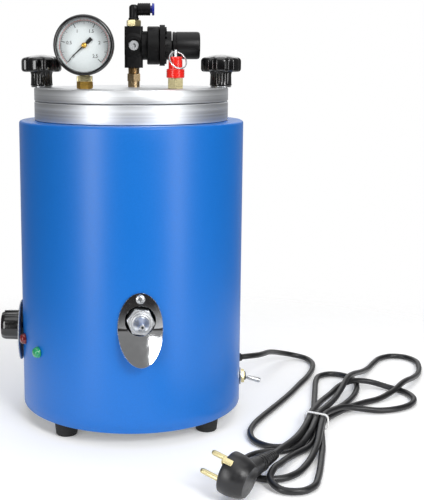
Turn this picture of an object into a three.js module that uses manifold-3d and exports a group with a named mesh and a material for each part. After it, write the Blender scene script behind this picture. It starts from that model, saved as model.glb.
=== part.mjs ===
// A heated wax pot with a pressure-tight lid, for injecting wax into moulds.
// Millimetres, +Z up. The nozzle faces -Y, the thermostat -X and the mains switch +X.
// Every sub-part is one named mesh. Sizes come from the named values below.
import * as THREE from "three";
import { mergeVertices } from "three/addons/utils/BufferGeometryUtils.js";
import Module from "manifold-3d";

const wasm = await Module();
wasm.setup();

const GAP = 0.3; // clearance between pieces that touch
const ROUND = 48; // sides of the large turned pieces
const FINE = 24; // sides of the small turned pieces

// Overall sizes
const FOOT_HEIGHT = 14;
const SHELL_RADIUS = 112.5;
const SHELL_HEIGHT = 288.7;
const FLANGE_INSET = 15.5; // from the shell to the flange and lid
const FLANGE_THICKNESS = 18.4;
const LID_THICKNESS = 12.7;
const LID_SEAM = 0.7;

// Housing
const SHELL_WALL = 1.5;
const SHELL_EDGE = 2.5;
const PLATE_THICKNESS = 2;
const FOOT_RADIUS = 12;
const FOOT_TIP_RADIUS = 10.5;
const FOOT_INSET = 14.9; // from the shell to the circle of the feet
const FRONT_TURN = 4.8; // degrees that the nozzle and the feet stand round from the front

// Tank
const TANK_RADIUS = 75;
const TANK_WALL = 4;
const TANK_FLOOR = 5;
const TANK_STAND = 105.4; // inside of the tank floor above the ground
const SEAL_INSET = 7; // from the tank wall out to the seal
const SEAL_WIDTH = 4;
const SEAL_DEPTH = 2.5;
const HEATER_INSET = 7; // from the tank wall in to the heater
const HEATER_THICKNESS = 9;
const JACKET_THICKNESS = 14;
const JACKET_RISE = 22; // lower edge of the jacket above the nozzle

// Lid clamps
const CLAMP_INSET = 7.2; // from the edge of the lid to the studs
const STUD_RADIUS = 4;
const STUD_DEPTH = 12;
const CLAMP_STEM_RADIUS = 11;
const CLAMP_STEM_HEIGHT = 13.8;
const CLAMP_HEAD_RADIUS = 20;
const CLAMP_HEAD_HEIGHT = 14.1;
const CLAMP_DOME = 2.8;
const CLAMP_LOBES = 7;
const CLAMP_NOTCH = 2.6;
const WASHER_THICKNESS = 1.2;

// Gauge
const GAUGE_X = -43.9;
const GAUGE_Y = -45;
const GAUGE_HEIGHT = 41.1; // centre of the dial above the lid
const GAUGE_RADIUS = 28.5;
const GAUGE_BACK = 10;
const GAUGE_FRONT = 11;
const GAUGE_WALL = 1.4;
const BEZEL_DEPTH = 4;
const BEZEL_OPENING = 24.9;
const GAUGE_HEX = 13.5;
const GAUGE_HEX_HEIGHT = 6.6;
const GAUGE_SQUARE = 14.5;
const NEEDLE_ANGLE = 223; // direction of the needle at zero, seen from the front
const NEEDLE_LENGTH = 19.5;
const NEEDLE_TAIL = 9.5;

// Regulator, with its port axis upright and its adjusting axis along X
const REGULATOR_X = 2.4;
const REGULATOR_Y = 20;
const REGULATOR_HEIGHT = 41.8; // adjusting axis above the lid
const PORT_HALF = 9.3;
const PORT_DOWN = 22.4;
const PORT_UP = 19;
const NECK_RADIUS = 14.5;
const NECK_END = 14.6;
const DRUM_RADIUS = 19.2;
const DRUM_END = 26;
const BONNET_HALF = 20.4;
const BONNET_END = 31.4;
const COLLAR_RADIUS = 14.4;
const COLLAR_END = 38.4;
const KNOB_RADIUS = 13.8;
const KNOB_LENGTH = 27.6;
const SPINDLE_RADIUS = 5;
const BOSS_RADIUS = 7.9;
const PLUG_SCREW_RADIUS = 5.2;

// Fittings
const NIPPLE_RADIUS = 6;
const NIPPLE_HEX = 13;
const ELBOW_HEX = 13.5;
const ELBOW_HEX_HEIGHT = 5.8;
const ELBOW_LEG_RADIUS = 4.7;
const ELBOW_RISE = 11; // barrel axis above the hexagon
const BARREL_RADIUS = 6.3;
const BARREL_START = 4.5;
const BARREL_END = 16.8;
const HOSE_RADIUS = 3.2;
const RELEASE_TRAVEL = 1.5;

// Safety valve
const VALVE_X = 42.9;
const VALVE_Y = -45;
const VALVE_TURN = 30;
const VALVE_HEX = 14;
const VALVE_HEX_HEIGHT = 9.8;
const VALVE_COLLAR_RADIUS = 8.7;
const VALVE_COLLAR_HEIGHT = 8.4;
const VALVE_CAP_RADIUS = 6.65;
const VALVE_CAP_HEIGHT = 11.6;
const VALVE_STEM_RADIUS = 1.65;
const VALVE_STEM_RISE = 6.8;
const RING_RADIUS = 8.9;
const RING_WIRE = 0.65;
const RING_LEAN = 30;

// Nozzle
const NOZZLE_RISE = 18.6; // above the tank floor
const NOZZLE_HOLE = 15;
const NOZZLE_HEX = 22.6;
const NOZZLE_HEX_TURN = 23;
const NOZZLE_HEX_BACK = 1;
const NOZZLE_HEX_FRONT = 8.5;
const NOZZLE_TIP = 25;
const NOZZLE_BARREL = 8;
const NOZZLE_TRAVEL = 3;
const VALVE_BODY_RADIUS = 12;
const OUTLET_RADIUS = 7;
const PLATE_HALF_WIDTH = 21;
const PLATE_TOP = 26.5; // above the nozzle axis
const PLATE_BOTTOM = 41.5; // below the nozzle axis
const PLATE_HOLE = 14.4;
const PLATE_METAL = 1.2;
const PLATE_LIP = 13; // how far the lower end is bent outwards
const PLATE_SCREW_RISE = 20.7;

// Thermostat and lamps, on the left
const THERMOSTAT_HEIGHT = 89;
const DIAL_RADIUS = 31;
const DIAL_DROP = 4.5; // middle of the dial plate below the knob's axis
const DIAL_THICKNESS = 1.6;
const DIAL_STANDOFF = 1.2;
const DIAL_KNOB_RADIUS = 15.5;
const DIAL_KNOB_TOP = 13.2;
const DIAL_KNOB_LENGTH = 19;
const SHAFT_RADIUS = 3;
const LAMP_RADIUS = 5.6;
const LAMP_RISE = 5.4;
const RED_LAMP_HEIGHT = 84.6;
const GREEN_LAMP_HEIGHT = 80;
const RED_LAMP_ANGLE = -71.5; // degrees round from the front, towards +X when positive
const GREEN_LAMP_ANGLE = -53.5;

// Mains switch and cable, on the right
const SWITCH_HEIGHT = 34;
const SWITCH_BUSH = 4.5;
const SWITCH_WASHER = 9;
const SWITCH_NUT = 12.5;
const SWITCH_TILT = 15;
const LEVER_LENGTH = 20.5;
const LEVER_RADIUS = 2.7;
const CABLE_HEIGHT = 36;
const CABLE_ANGLE = 116;
const GLAND_LENGTH = 21;
const GLAND_RADIUS = 8;
const CORD_DIAMETER = 6.2;

const shellTop = FOOT_HEIGHT + SHELL_HEIGHT;
const flangeBottom = shellTop + GAP;
const flangeTop = flangeBottom + FLANGE_THICKNESS;
const lidBottom = flangeTop + LID_SEAM;
const lidTop = lidBottom + LID_THICKNESS;
const shellBore = SHELL_RADIUS - SHELL_WALL;
const tankOutside = TANK_RADIUS + TANK_WALL;
const flangeRadius = SHELL_RADIUS - FLANGE_INSET;
const clampRadius = flangeRadius - CLAMP_INSET;
const sealRadius = TANK_RADIUS + SEAL_INSET;
const heaterRadius = TANK_RADIUS - HEATER_INSET;
const tankBottom = TANK_STAND - TANK_FLOOR;
const nozzleHeight = TANK_STAND + NOZZLE_RISE;
const jacketBottom = nozzleHeight + JACKET_RISE;
const deg = THREE.MathUtils.degToRad;

function finish(color, roughness, metalness) {
  return new THREE.MeshStandardMaterial({ color, roughness, metalness });
}

const finishes = {
  blueEnamel: finish(0x1876d2, 0.4, 0),
  steel: finish(0xb9bcc0, 0.35, 1),
  aluminium: finish(0xc9cbce, 0.35, 1),
  chrome: finish(0xd8dadd, 0.1, 1),
  brass: finish(0xc9a24a, 0.3, 1),
  blackPlastic: finish(0x1f1f21, 0.4, 0),
  cordPlastic: finish(0x1b1b1c, 0.55, 0),
  rubber: finish(0x161616, 0.8, 0),
  redPlastic: finish(0xe8352a, 0.4, 0),
  bluePlastic: finish(0x2f35b0, 0.4, 0),
  whitePlastic: finish(0xf0f0ee, 0.5, 0),
  insulation: finish(0xd8cfae, 0.95, 0),
  glass: finish(0xe8f0f2, 0.05, 0),
  redLens: finish(0x8c1420, 0.15, 0),
  greenLens: finish(0x2fb57a, 0.15, 0),
};

// A closed mesh as a solid, turned the right way out.
function solid(geometry) {
  const bare = geometry.index ? geometry.toNonIndexed() : geometry.clone();
  const points = new THREE.BufferGeometry().setAttribute("position", bare.getAttribute("position"));
  const merged = mergeVertices(points, 1e-4);
  const made = new wasm.Manifold(
    new wasm.Mesh({
      numProp: 3,
      vertProperties: merged.attributes.position.array,
      triVerts: new Uint32Array(merged.index.array),
    }),
  );
  return made.volume() < 0 ? solid(flipped(merged)) : made;
}

function flipped(geometry) {
  const index = geometry.index.array;
  for (let i = 0; i < index.length; i += 3) {
    const first = index[i];
    index[i] = index[i + 1];
    index[i + 1] = first;
  }
  return geometry;
}

// A solid as a named mesh.
function piece(name, shape, material) {
  const { vertProperties, triVerts, numVert, numProp } = shape.getMesh();
  const positions = new Float32Array(numVert * 3);
  for (let i = 0; i < numVert; i++) {
    positions.set(vertProperties.subarray(i * numProp, i * numProp + 3), i * 3);
  }
  const geometry = new THREE.BufferGeometry();
  geometry.setAttribute("position", new THREE.BufferAttribute(positions, 3));
  geometry.setIndex(new THREE.BufferAttribute(triVerts, 1));
  geometry.computeVertexNormals();
  const mesh = new THREE.Mesh(geometry, material);
  mesh.name = name;
  return mesh;
}

// Turned about +Z from [radius, height] points that start and end on the axis or close on themselves.
function turned(points, sides = FINE) {
  const profile = points.map(([radius, height]) => new THREE.Vector2(radius, height));
  return new THREE.LatheGeometry(profile, sides).rotateX(Math.PI / 2);
}

function rod(radius, bottom, top, sides = FINE) {
  return turned([[0, bottom], [radius, bottom], [radius, top], [0, top]], sides);
}

function tube(inner, outer, bottom, top, sides = FINE) {
  const points = [[inner, bottom], [outer, bottom], [outer, top], [inner, top], [inner, bottom]];
  return turned(points, sides);
}

// A regular prism about +Z, measured across its flats, with a flat towards +X.
function prism(sides, acrossFlats, bottom, top) {
  const radius = acrossFlats / 2 / Math.cos(Math.PI / sides);
  return rod(radius, bottom, top, sides).rotateZ(Math.PI / 2 - Math.PI / sides);
}

function block(x0, x1, y0, y1, z0, z1) {
  const box = new THREE.BoxGeometry(x1 - x0, y1 - y0, z1 - z0);
  return box.translate((x0 + x1) / 2, (y0 + y1) / 2, (z0 + z1) / 2);
}

// Turns a shape that stands on +Z so that it points along +X, -X or -Y.
const toRight = (geometry) => geometry.rotateY(Math.PI / 2);
const toFront = (geometry) => geometry.rotateX(Math.PI / 2);

// A shape that points along -Y, carried round the pot to an angle from the front.
const carried = (geometry, angle) => geometry.rotateZ(deg(angle));

function groupOf(...members) {
  const group = new THREE.Group();
  group.add(...members);
  return group;
}

// Housing ---------------------------------------------------------------

function outerShell() {
  const roofHole = tankOutside + 1;
  const bend = SHELL_RADIUS - SHELL_EDGE;
  const edge = [0, 30, 60, 90].map((angle) => [
    bend + SHELL_EDGE * Math.cos(deg(angle)),
    shellTop - SHELL_EDGE + SHELL_EDGE * Math.sin(deg(angle)),
  ]);
  const underRoof = shellTop - SHELL_WALL;
  const profile = [
    [shellBore, FOOT_HEIGHT],
    [SHELL_RADIUS, FOOT_HEIGHT],
    ...edge,
    [roofHole, shellTop],
    [roofHole, underRoof],
    [shellBore, underRoof],
    [shellBore, FOOT_HEIGHT],
  ];
  const through = (radius) => toFront(rod(radius, shellBore - 8, SHELL_RADIUS + 8));
  const hole = (radius, height, angle) => carried(through(radius), angle).translate(0, 0, height);
  const holes = [
    hole(NOZZLE_HOLE, nozzleHeight, FRONT_TURN),
    hole(SHAFT_RADIUS + 2, THERMOSTAT_HEIGHT, -90),
    hole(LAMP_RADIUS - 0.8, RED_LAMP_HEIGHT, RED_LAMP_ANGLE),
    hole(LAMP_RADIUS - 0.8, GREEN_LAMP_HEIGHT, GREEN_LAMP_ANGLE),
    hole(SWITCH_BUSH + GAP, SWITCH_HEIGHT, 90),
    hole(GLAND_RADIUS - 2 + GAP, CABLE_HEIGHT, CABLE_ANGLE),
  ];
  const made = holes.reduce((body, cut) => body.subtract(solid(cut)), solid(turned(profile, ROUND)));
  return piece("outer_shell", made, finishes.blueEnamel);
}

function bottomPlate() {
  const top = FOOT_HEIGHT + PLATE_THICKNESS;
  const plate = rod(shellBore - GAP, FOOT_HEIGHT, top, ROUND);
  return piece("bottom_plate", solid(plate), finishes.steel);
}

function feet() {
  const names = ["foot_front_right", "foot_rear_right", "foot_rear_left", "foot_front_left"];
  const foot = [
    [0, 4],
    [4, 4],
    [4, 0],
    [FOOT_TIP_RADIUS, 0],
    [FOOT_RADIUS, FOOT_HEIGHT - GAP],
    [0, FOOT_HEIGHT - GAP],
  ];
  return names.map((name, i) => {
    const angle = 45 + FRONT_TURN + 90 * i;
    const shape = carried(turned(foot, 20).translate(0, -(SHELL_RADIUS - FOOT_INSET), 0), angle);
    return piece(name, solid(shape), finishes.rubber);
  });
}

// Tank and heating ------------------------------------------------------

function tank() {
  const groove = flangeTop - SEAL_DEPTH;
  const sealIn = sealRadius - SEAL_WIDTH / 2 - GAP;
  const sealOut = sealRadius + SEAL_WIDTH / 2 + GAP;
  const profile = [
    [0, tankBottom],
    [tankOutside, tankBottom],
    [tankOutside, flangeBottom],
    [flangeRadius, flangeBottom],
    [flangeRadius, flangeTop],
    [sealOut, flangeTop],
    [sealOut, groove],
    [sealIn, groove],
    [sealIn, flangeTop],
    [TANK_RADIUS, flangeTop],
    [TANK_RADIUS, TANK_STAND],
    [0, TANK_STAND],
  ];
  const outlet = carried(toFront(rod(OUTLET_RADIUS + GAP, TANK_RADIUS - 6, tankOutside + 6)), FRONT_TURN);
  let made = solid(turned(profile, ROUND)).subtract(solid(outlet.translate(0, 0, nozzleHeight)));
  for (const side of [-1, 1]) {
    const hole = rod(STUD_RADIUS + GAP, flangeTop - STUD_DEPTH - 2, flangeTop + 5, 16);
    made = made.subtract(solid(hole.translate(side * clampRadius, 0, 0)));
  }
  return piece("tank", made, finishes.aluminium);
}

function lidGasket() {
  const bottom = flangeTop - SEAL_DEPTH + GAP;
  const top = lidBottom - GAP;
  const ring = tube(sealRadius - SEAL_WIDTH / 2, sealRadius + SEAL_WIDTH / 2, bottom, top, ROUND);
  return piece("lid_gasket", solid(ring), finishes.rubber);
}

function insulationJacket() {
  const inner = tankOutside + 1;
  const jacket = tube(inner, inner + JACKET_THICKNESS, jacketBottom, shellTop - SHELL_WALL - 4, ROUND);
  return piece("insulation_jacket", solid(jacket), finishes.insulation);
}

function heatingPlate() {
  const top = tankBottom - GAP;
  const plate = rod(heaterRadius, top - HEATER_THICKNESS, top, 36);
  return piece("heating_plate", solid(plate), finishes.steel);
}

// Nozzle ----------------------------------------------------------------

// Everything here is built pointing along +Z, outwards from the pot's axis.
function nozzleParts() {
  const bore = NOZZLE_BARREL + GAP;
  const bodyBack = tankOutside + 3;
  const bodyFront = SHELL_RADIUS - 4;
  const stop = bodyFront - 20;
  const body = turned([
    [0, TANK_RADIUS + 0.5],
    [OUTLET_RADIUS, TANK_RADIUS + 0.5],
    [OUTLET_RADIUS, bodyBack],
    [VALVE_BODY_RADIUS, bodyBack],
    [VALVE_BODY_RADIUS, bodyFront],
    [bore, bodyFront],
    [bore, stop],
    [0, stop],
  ]);
  const passage = rod(2, TANK_RADIUS - 1, stop + 1, 12);
  const nozzleBack = stop + 7;
  const hexBack = SHELL_RADIUS + NOZZLE_HEX_BACK;
  const hexFront = SHELL_RADIUS + NOZZLE_HEX_FRONT;
  const tip = SHELL_RADIUS + NOZZLE_TIP;
  const stemOutside = [
    [0, nozzleBack],
    [NOZZLE_BARREL, nozzleBack],
    [NOZZLE_BARREL, hexBack + 0.5],
    [10.2, hexFront - 1],
    [10.2, hexFront + 1.2],
    [7.4, hexFront + 3],
    [6.6, hexFront + 8],
    [3.2, tip - 3.2],
    [2.4, tip],
    [0, tip],
  ];
  const nozzle = solid(turned(stemOutside))
    .add(solid(prism(6, NOZZLE_HEX, hexBack, hexFront).rotateZ(deg(NOZZLE_HEX_TURN))))
    .subtract(solid(rod(1.1, nozzleBack - 1, tip + 1, 12)));
  // The spring stands at its closed length, clear of the nozzle when that is pushed in.
  const spring = tube(4.2, 6.6, stop + GAP, nozzleBack - NOZZLE_TRAVEL - GAP, 16);
  return groupOf(
    piece("nozzle_block", solid(body).subtract(solid(passage)), finishes.brass),
    piece("nozzle_spring", solid(spring), finishes.steel),
    piece("nozzle", nozzle, finishes.chrome),
  );
}

// A flat washer drawn out into the oval plate, laid on the shell, its lower end bent outwards.
function escutcheonPlate() {
  const rings = 5;
  const inside = Array.from({ length: rings + 1 }, (_, i) => [1 + i / rings, 0]);
  const outside = [...inside].reverse().map(([share]) => [share, 1]);
  const washer = turned([...inside, ...outside, inside[0]], 40);
  const place = washer.attributes.position;
  for (let i = 0; i < place.count; i++) {
    const angle = Math.atan2(place.getY(i), place.getX(i));
    const share = Math.hypot(place.getX(i), place.getY(i)) - 1;
    const across = Math.cos(angle);
    const along = Math.sin(angle);
    const middle = (PLATE_TOP - PLATE_BOTTOM) / 2;
    const half = (PLATE_TOP + PLATE_BOTTOM) / 2;
    const x = THREE.MathUtils.lerp(PLATE_HOLE * across, PLATE_HALF_WIDTH * across, share);
    const z = THREE.MathUtils.lerp(PLATE_HOLE * along, middle + half * along, share);
    const bent = Math.max(0, (-z - 4) / (PLATE_BOTTOM - 4));
    const surface = Math.sqrt(SHELL_RADIUS ** 2 - x ** 2) + 0.6 + PLATE_LIP * bent ** 1.5;
    place.setXYZ(i, x, -surface - PLATE_METAL * place.getZ(i), z);
  }
  const hole = toFront(rod(2.4, SHELL_RADIUS - 9, SHELL_RADIUS + 9, 12)).translate(0, 0, PLATE_SCREW_RISE);
  return piece("escutcheon", solid(washer).subtract(solid(hole)), finishes.chrome);
}

function escutcheonScrew() {
  const seat = SHELL_RADIUS + 0.6 + PLATE_METAL + GAP;
  const head = turned([
    [0, seat - 1.6],
    [2, seat - 1.6],
    [2, seat],
    [4.3, seat],
    [3.4, seat + 1.8],
    [0, seat + 2.3],
  ]);
  const slot = 0.9;
  const cross = solid(block(-2.6, 2.6, -slot / 2, slot / 2, seat + 0.9, seat + 4));
  const other = solid(block(-slot / 2, slot / 2, -2.6, 2.6, seat + 0.9, seat + 4));
  const made = solid(head).subtract(cross.add(other));
  const screw = piece("escutcheon_screw", made, finishes.chrome);
  screw.position.z = PLATE_SCREW_RISE;
  screw.rotation.x = Math.PI / 2;
  return screw;
}

function nozzleGroup() {
  const parts = nozzleParts();
  parts.rotation.x = Math.PI / 2;
  const group = groupOf(parts, escutcheonPlate(), escutcheonScrew());
  group.position.z = nozzleHeight;
  group.rotation.z = deg(FRONT_TURN);
  return group;
}

// Thermostat and lamps --------------------------------------------------

function thermostatGroup() {
  const face = SHELL_RADIUS + DIAL_STANDOFF;
  const front = face + DIAL_THICKNESS;
  const knobBack = front + 0.8;
  const knobFront = knobBack + DIAL_KNOB_LENGTH;
  const plate = solid(rod(DIAL_RADIUS, face, front, 36).translate(-DIAL_DROP, 0, 0))
    .subtract(solid(rod(SHAFT_RADIUS + 1, face - 1, front + 1, 36)));
  const bodyFront = shellBore - 6;
  const body = solid(block(-17, 17, -17, 17, bodyFront - 18, bodyFront))
    .add(solid(rod(SHAFT_RADIUS, bodyFront - 2, knobBack + 8, 16)));
  const shaftBore = rod(SHAFT_RADIUS + GAP, knobBack - 1, knobBack + 9, 16);
  const grip = turned(
    [
      [0, knobBack],
      [DIAL_KNOB_RADIUS, knobBack],
      [DIAL_KNOB_TOP + 1.6, knobFront - 3],
      [DIAL_KNOB_TOP, knobFront],
      [0, knobFront],
    ],
    12,
  );
  const pointer = block(DIAL_KNOB_TOP - 2.6, DIAL_KNOB_RADIUS + 0.8, -1, 1, knobBack, knobFront - 3);
  const knob = solid(grip).add(solid(pointer)).subtract(solid(shaftBore));
  const group = groupOf(
    piece("dial_plate", plate, finishes.chrome),
    piece("thermostat_body", body, finishes.blackPlastic),
    piece("thermostat_knob", knob, finishes.blackPlastic),
  );
  group.rotation.set(0, -Math.PI / 2, 0);
  group.position.z = THERMOSTAT_HEIGHT;
  return group;
}

// The sensing bulb lies under the tank's wall and its thin pipe runs down to the thermostat.
function thermostatBulb() {
  const side = -(tankOutside + 3.4);
  const low = tankBottom + 4;
  const high = jacketBottom - 3;
  const path = new THREE.CatmullRomCurve3([
    new THREE.Vector3(side, 0, high - 10),
    new THREE.Vector3(side, 0, low + 5),
    new THREE.Vector3(side + 1, 3, low - 8),
    new THREE.Vector3(side + 9, 10, low - 24),
  ]);
  const section = new THREE.Shape().absarc(0, 0, 1.6, 0, 2 * Math.PI);
  const pipe = new THREE.ExtrudeGeometry(section, { extrudePath: path, steps: 10, curveSegments: 3 });
  const bulb = rod(2.6, high - 28, high, 10).translate(side, 0, 0);
  return piece("thermostat_bulb", solid(pipe).add(solid(bulb)), finishes.brass);
}

function lamp(name, angle, height, material) {
  const collar = SHELL_RADIUS + 0.4;
  const shape = turned(
    [
      [0, shellBore - 10],
      [LAMP_RADIUS - 1.1, shellBore - 10],
      [LAMP_RADIUS - 1.1, collar],
      [LAMP_RADIUS, collar],
      [LAMP_RADIUS, collar + LAMP_RISE - 3],
      [LAMP_RADIUS - 1, collar + LAMP_RISE - 1],
      [0, collar + LAMP_RISE],
    ],
    16,
  );
  return piece(name, solid(carried(toFront(shape), angle).translate(0, 0, height)), material);
}

// Switch and cable outlet -----------------------------------------------

function switchGroup() {
  const washerBack = SHELL_RADIUS + 0.5;
  const washerFront = washerBack + 1.3;
  const nutBack = washerFront + GAP;
  const nutFront = nutBack + 3.2;
  const bushFront = nutFront + 1.6;
  const pivot = bushFront - 4;
  const bush = solid(rod(SWITCH_BUSH, shellBore - 3, bushFront, 20));
  const socket = solid(rod(3.6, pivot - 4.5, bushFront + 1, 16));
  const housing = solid(block(-7, 7, -10, 10, shellBore - 26, shellBore - 2.6));
  const lever = solid(
    turned(
      [
        [0, -2.6],
        [1.8, -2],
        [2.2, 0],
        [1.6, 4],
        [LEVER_RADIUS - 0.4, 6],
        [LEVER_RADIUS, LEVER_LENGTH - 1],
        [LEVER_RADIUS - 0.8, LEVER_LENGTH],
        [0, LEVER_LENGTH],
      ],
      12,
    ),
  );
  const washer = tube(SWITCH_BUSH + GAP, SWITCH_WASHER, washerBack, washerFront, 20);
  const nut = solid(prism(6, SWITCH_NUT, nutBack, nutFront)).subtract(
    solid(rod(SWITCH_BUSH + GAP, nutBack - 1, nutFront + 1, 20)),
  );
  const leverMesh = piece("switch_lever", lever, finishes.chrome);
  leverMesh.position.z = pivot;
  leverMesh.rotation.y = deg(SWITCH_TILT);
  const group = groupOf(
    piece("switch_body", bush.add(housing).subtract(socket), finishes.steel),
    piece("switch_washer", solid(washer), finishes.chrome),
    piece("switch_nut", nut, finishes.chrome),
    leverMesh,
  );
  group.rotation.y = Math.PI / 2;
  group.position.z = SWITCH_HEIGHT;
  return group;
}

function cableGland() {
  const collar = SHELL_RADIUS + 0.5;
  const end = SHELL_RADIUS + GLAND_LENGTH;
  const gland = turned(
    [
      [0, shellBore - 8],
      [GLAND_RADIUS - 2, shellBore - 8],
      [GLAND_RADIUS - 2, collar],
      [GLAND_RADIUS, collar],
      [GLAND_RADIUS, collar + 3],
      [5.6, collar + 4],
      [4.4, end],
      [0, end],
    ],
    20,
  );
  const shape = carried(toFront(gland), CABLE_ANGLE).translate(0, 0, CABLE_HEIGHT);
  return piece("cable_gland", solid(shape), finishes.cordPlastic);
}

function terminalBlock() {
  const shape = block(-22, 22, -9, 9, FOOT_HEIGHT + PLATE_THICKNESS + GAP, FOOT_HEIGHT + 20);
  return piece("terminal_block", solid(shape.translate(0, 60, 0)), finishes.whitePlastic);
}

// Lid and clamps --------------------------------------------------------

const fittingHoles = [
  [GAUGE_X, GAUGE_Y, NIPPLE_RADIUS],
  [REGULATOR_X, REGULATOR_Y, NIPPLE_RADIUS],
  [VALVE_X, VALVE_Y, NIPPLE_RADIUS - 1],
];

function lid() {
  const edge = 0.8;
  const disc = turned(
    [
      [0, lidBottom],
      [flangeRadius - edge, lidBottom],
      [flangeRadius, lidBottom + edge],
      [flangeRadius, lidTop - edge],
      [flangeRadius - edge, lidTop],
      [0, lidTop],
    ],
    ROUND,
  );
  const clampHoles = [-1, 1].map((side) => [side * clampRadius, 0, STUD_RADIUS + 2 * GAP]);
  const holes = [...fittingHoles.map(([x, y, radius]) => [x, y, radius + GAP]), ...clampHoles];
  const made = holes.reduce(
    (body, [x, y, radius]) => {
      const hole = rod(radius, lidBottom - 2, lidTop + 2, 20);
      return body.subtract(solid(hole.translate(x, y, 0)));
    },
    solid(disc),
  );
  return piece("lid", made, finishes.aluminium);
}

function clamp(side, name) {
  const washerBottom = lidTop + GAP;
  const washerTop = washerBottom + WASHER_THICKNESS;
  const stemBottom = washerTop + GAP;
  const headBottom = stemBottom + CLAMP_STEM_HEIGHT;
  const headTop = headBottom + CLAMP_HEAD_HEIGHT;
  const studTop = stemBottom + CLAMP_STEM_HEIGHT - 2;
  const outline = new THREE.Shape();
  const steps = CLAMP_LOBES * 8;
  for (let i = 0; i < steps; i++) {
    const angle = (2 * Math.PI * i) / steps;
    const notch = Math.max(0, -Math.cos(CLAMP_LOBES * angle) - 0.1) / 0.9;
    const radius = CLAMP_HEAD_RADIUS - CLAMP_NOTCH * notch;
    outline[i ? "lineTo" : "moveTo"](radius * Math.cos(angle), radius * Math.sin(angle));
  }
  const head = new THREE.ExtrudeGeometry(outline, { depth: CLAMP_HEAD_HEIGHT, bevelEnabled: false });
  const dome = turned([
    [0, headTop - 4],
    [17, headTop - 4],
    [17, headTop],
    [11, headTop + 0.6 * CLAMP_DOME],
    [5, headTop + 0.93 * CLAMP_DOME],
    [0, headTop + CLAMP_DOME],
  ]);
  const stem = rod(CLAMP_STEM_RADIUS, stemBottom, headBottom + 2);
  const studBore = rod(STUD_RADIUS + GAP, stemBottom - 1, studTop + GAP, 16);
  const knob = solid(head.translate(0, 0, headBottom))
    .add(solid(dome))
    .add(solid(stem))
    .subtract(solid(studBore));
  const stud = rod(STUD_RADIUS, flangeTop - STUD_DEPTH, studTop, 16);
  const washer = tube(STUD_RADIUS + GAP, CLAMP_STEM_RADIUS - 0.5, washerBottom, washerTop);
  const group = groupOf(
    piece("clamp_knob_" + name, knob, finishes.blackPlastic),
    piece("clamp_stud_" + name, solid(stud), finishes.steel),
    piece("clamp_washer_" + name, solid(washer), finishes.steel),
  );
  group.position.x = side * clampRadius;
  return group;
}

// Pressure gauge --------------------------------------------------------

// The case and what is in it point along +Z here, out of the dial.
function gaugeHead() {
  const inside = GAUGE_RADIUS - GAUGE_WALL;
  const lensBack = GAUGE_FRONT - 2;
  const lensFront = GAUGE_FRONT - 0.2;
  const dialBack = 2;
  const dialFront = 2.8;
  const shell = solid(
    turned(
      [
        [0, -GAUGE_BACK],
        [GAUGE_RADIUS - 2, -GAUGE_BACK],
        [GAUGE_RADIUS, -GAUGE_BACK + 2],
        [GAUGE_RADIUS, GAUGE_FRONT],
        [inside, GAUGE_FRONT],
        [inside, -GAUGE_BACK + 3],
        [0, -GAUGE_BACK + 3],
      ],
      36,
    ),
  );
  const stemHole = rod(5 + GAP, -GAUGE_RADIUS - 2, -GAUGE_RADIUS + 8, 16).rotateX(-Math.PI / 2);
  const bezelBack = GAUGE_FRONT + GAP;
  const bezel = turned(
    [
      [BEZEL_OPENING, bezelBack],
      [GAUGE_RADIUS, bezelBack],
      [GAUGE_RADIUS, bezelBack + 2.4],
      [GAUGE_RADIUS - 1.5, bezelBack + BEZEL_DEPTH],
      [BEZEL_OPENING + 0.8, bezelBack + BEZEL_DEPTH],
      [BEZEL_OPENING, bezelBack],
    ],
    36,
  );
  const lens = rod(inside - GAP, lensBack, lensFront, 36);
  const dial = tube(1.4, inside - GAP, dialBack, dialFront, 36);
  const hand = new THREE.Shape();
  hand.moveTo(NEEDLE_LENGTH, 0.2);
  hand.lineTo(0, 0.9);
  hand.lineTo(-3, 0.9);
  hand.lineTo(-NEEDLE_TAIL, 1.6);
  hand.lineTo(-NEEDLE_TAIL, -1.6);
  hand.lineTo(-3, -0.9);
  hand.lineTo(0, -0.9);
  hand.lineTo(NEEDLE_LENGTH, -0.2);
  const pointer = new THREE.ExtrudeGeometry(hand, { depth: 0.6, bevelEnabled: false });
  const hubBack = dialFront + 0.6;
  const hub = turned([[0, 0.5], [1, 0.5], [1, hubBack], [2.6, hubBack], [2.2, 6.4], [0, 6.8]], 16);
  const needle = solid(pointer.rotateZ(deg(NEEDLE_ANGLE)).translate(0, 0, 4.2)).add(solid(hub));
  return groupOf(
    piece("gauge_case", shell.subtract(solid(stemHole)), finishes.blackPlastic),
    piece("gauge_bezel", solid(bezel), finishes.blackPlastic),
    piece("gauge_lens", solid(lens), finishes.glass),
    piece("gauge_dial", solid(dial), finishes.whitePlastic),
    piece("gauge_needle", needle, finishes.blackPlastic),
  );
}

function gaugeStem() {
  const hexBottom = lidTop + GAP;
  const hexTop = hexBottom + GAUGE_HEX_HEIGHT;
  const squareTop = lidTop + GAUGE_HEIGHT - GAUGE_RADIUS - GAP;
  const half = GAUGE_SQUARE / 2;
  const made = solid(rod(NIPPLE_RADIUS, lidBottom + 1, hexBottom + 1))
    .add(solid(prism(6, GAUGE_HEX, hexBottom, hexTop).rotateZ(Math.PI / 6)))
    .add(solid(block(-half, half, -half, half, hexTop - 0.5, squareTop)))
    .add(solid(rod(5, squareTop - 1, squareTop + GAUGE_WALL, 16)));
  return piece("gauge_stem", made, finishes.brass);
}

function gaugeGroup() {
  const head = gaugeHead();
  head.rotation.x = Math.PI / 2;
  head.position.z = lidTop + GAUGE_HEIGHT;
  const group = groupOf(head, gaugeStem());
  group.position.set(GAUGE_X, GAUGE_Y, 0);
  return group;
}

// Regulator and hose elbow ----------------------------------------------

const regulatorAxis = lidTop + REGULATOR_HEIGHT;
const portBottom = regulatorAxis - PORT_DOWN;
const portTop = regulatorAxis + PORT_UP;

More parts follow.
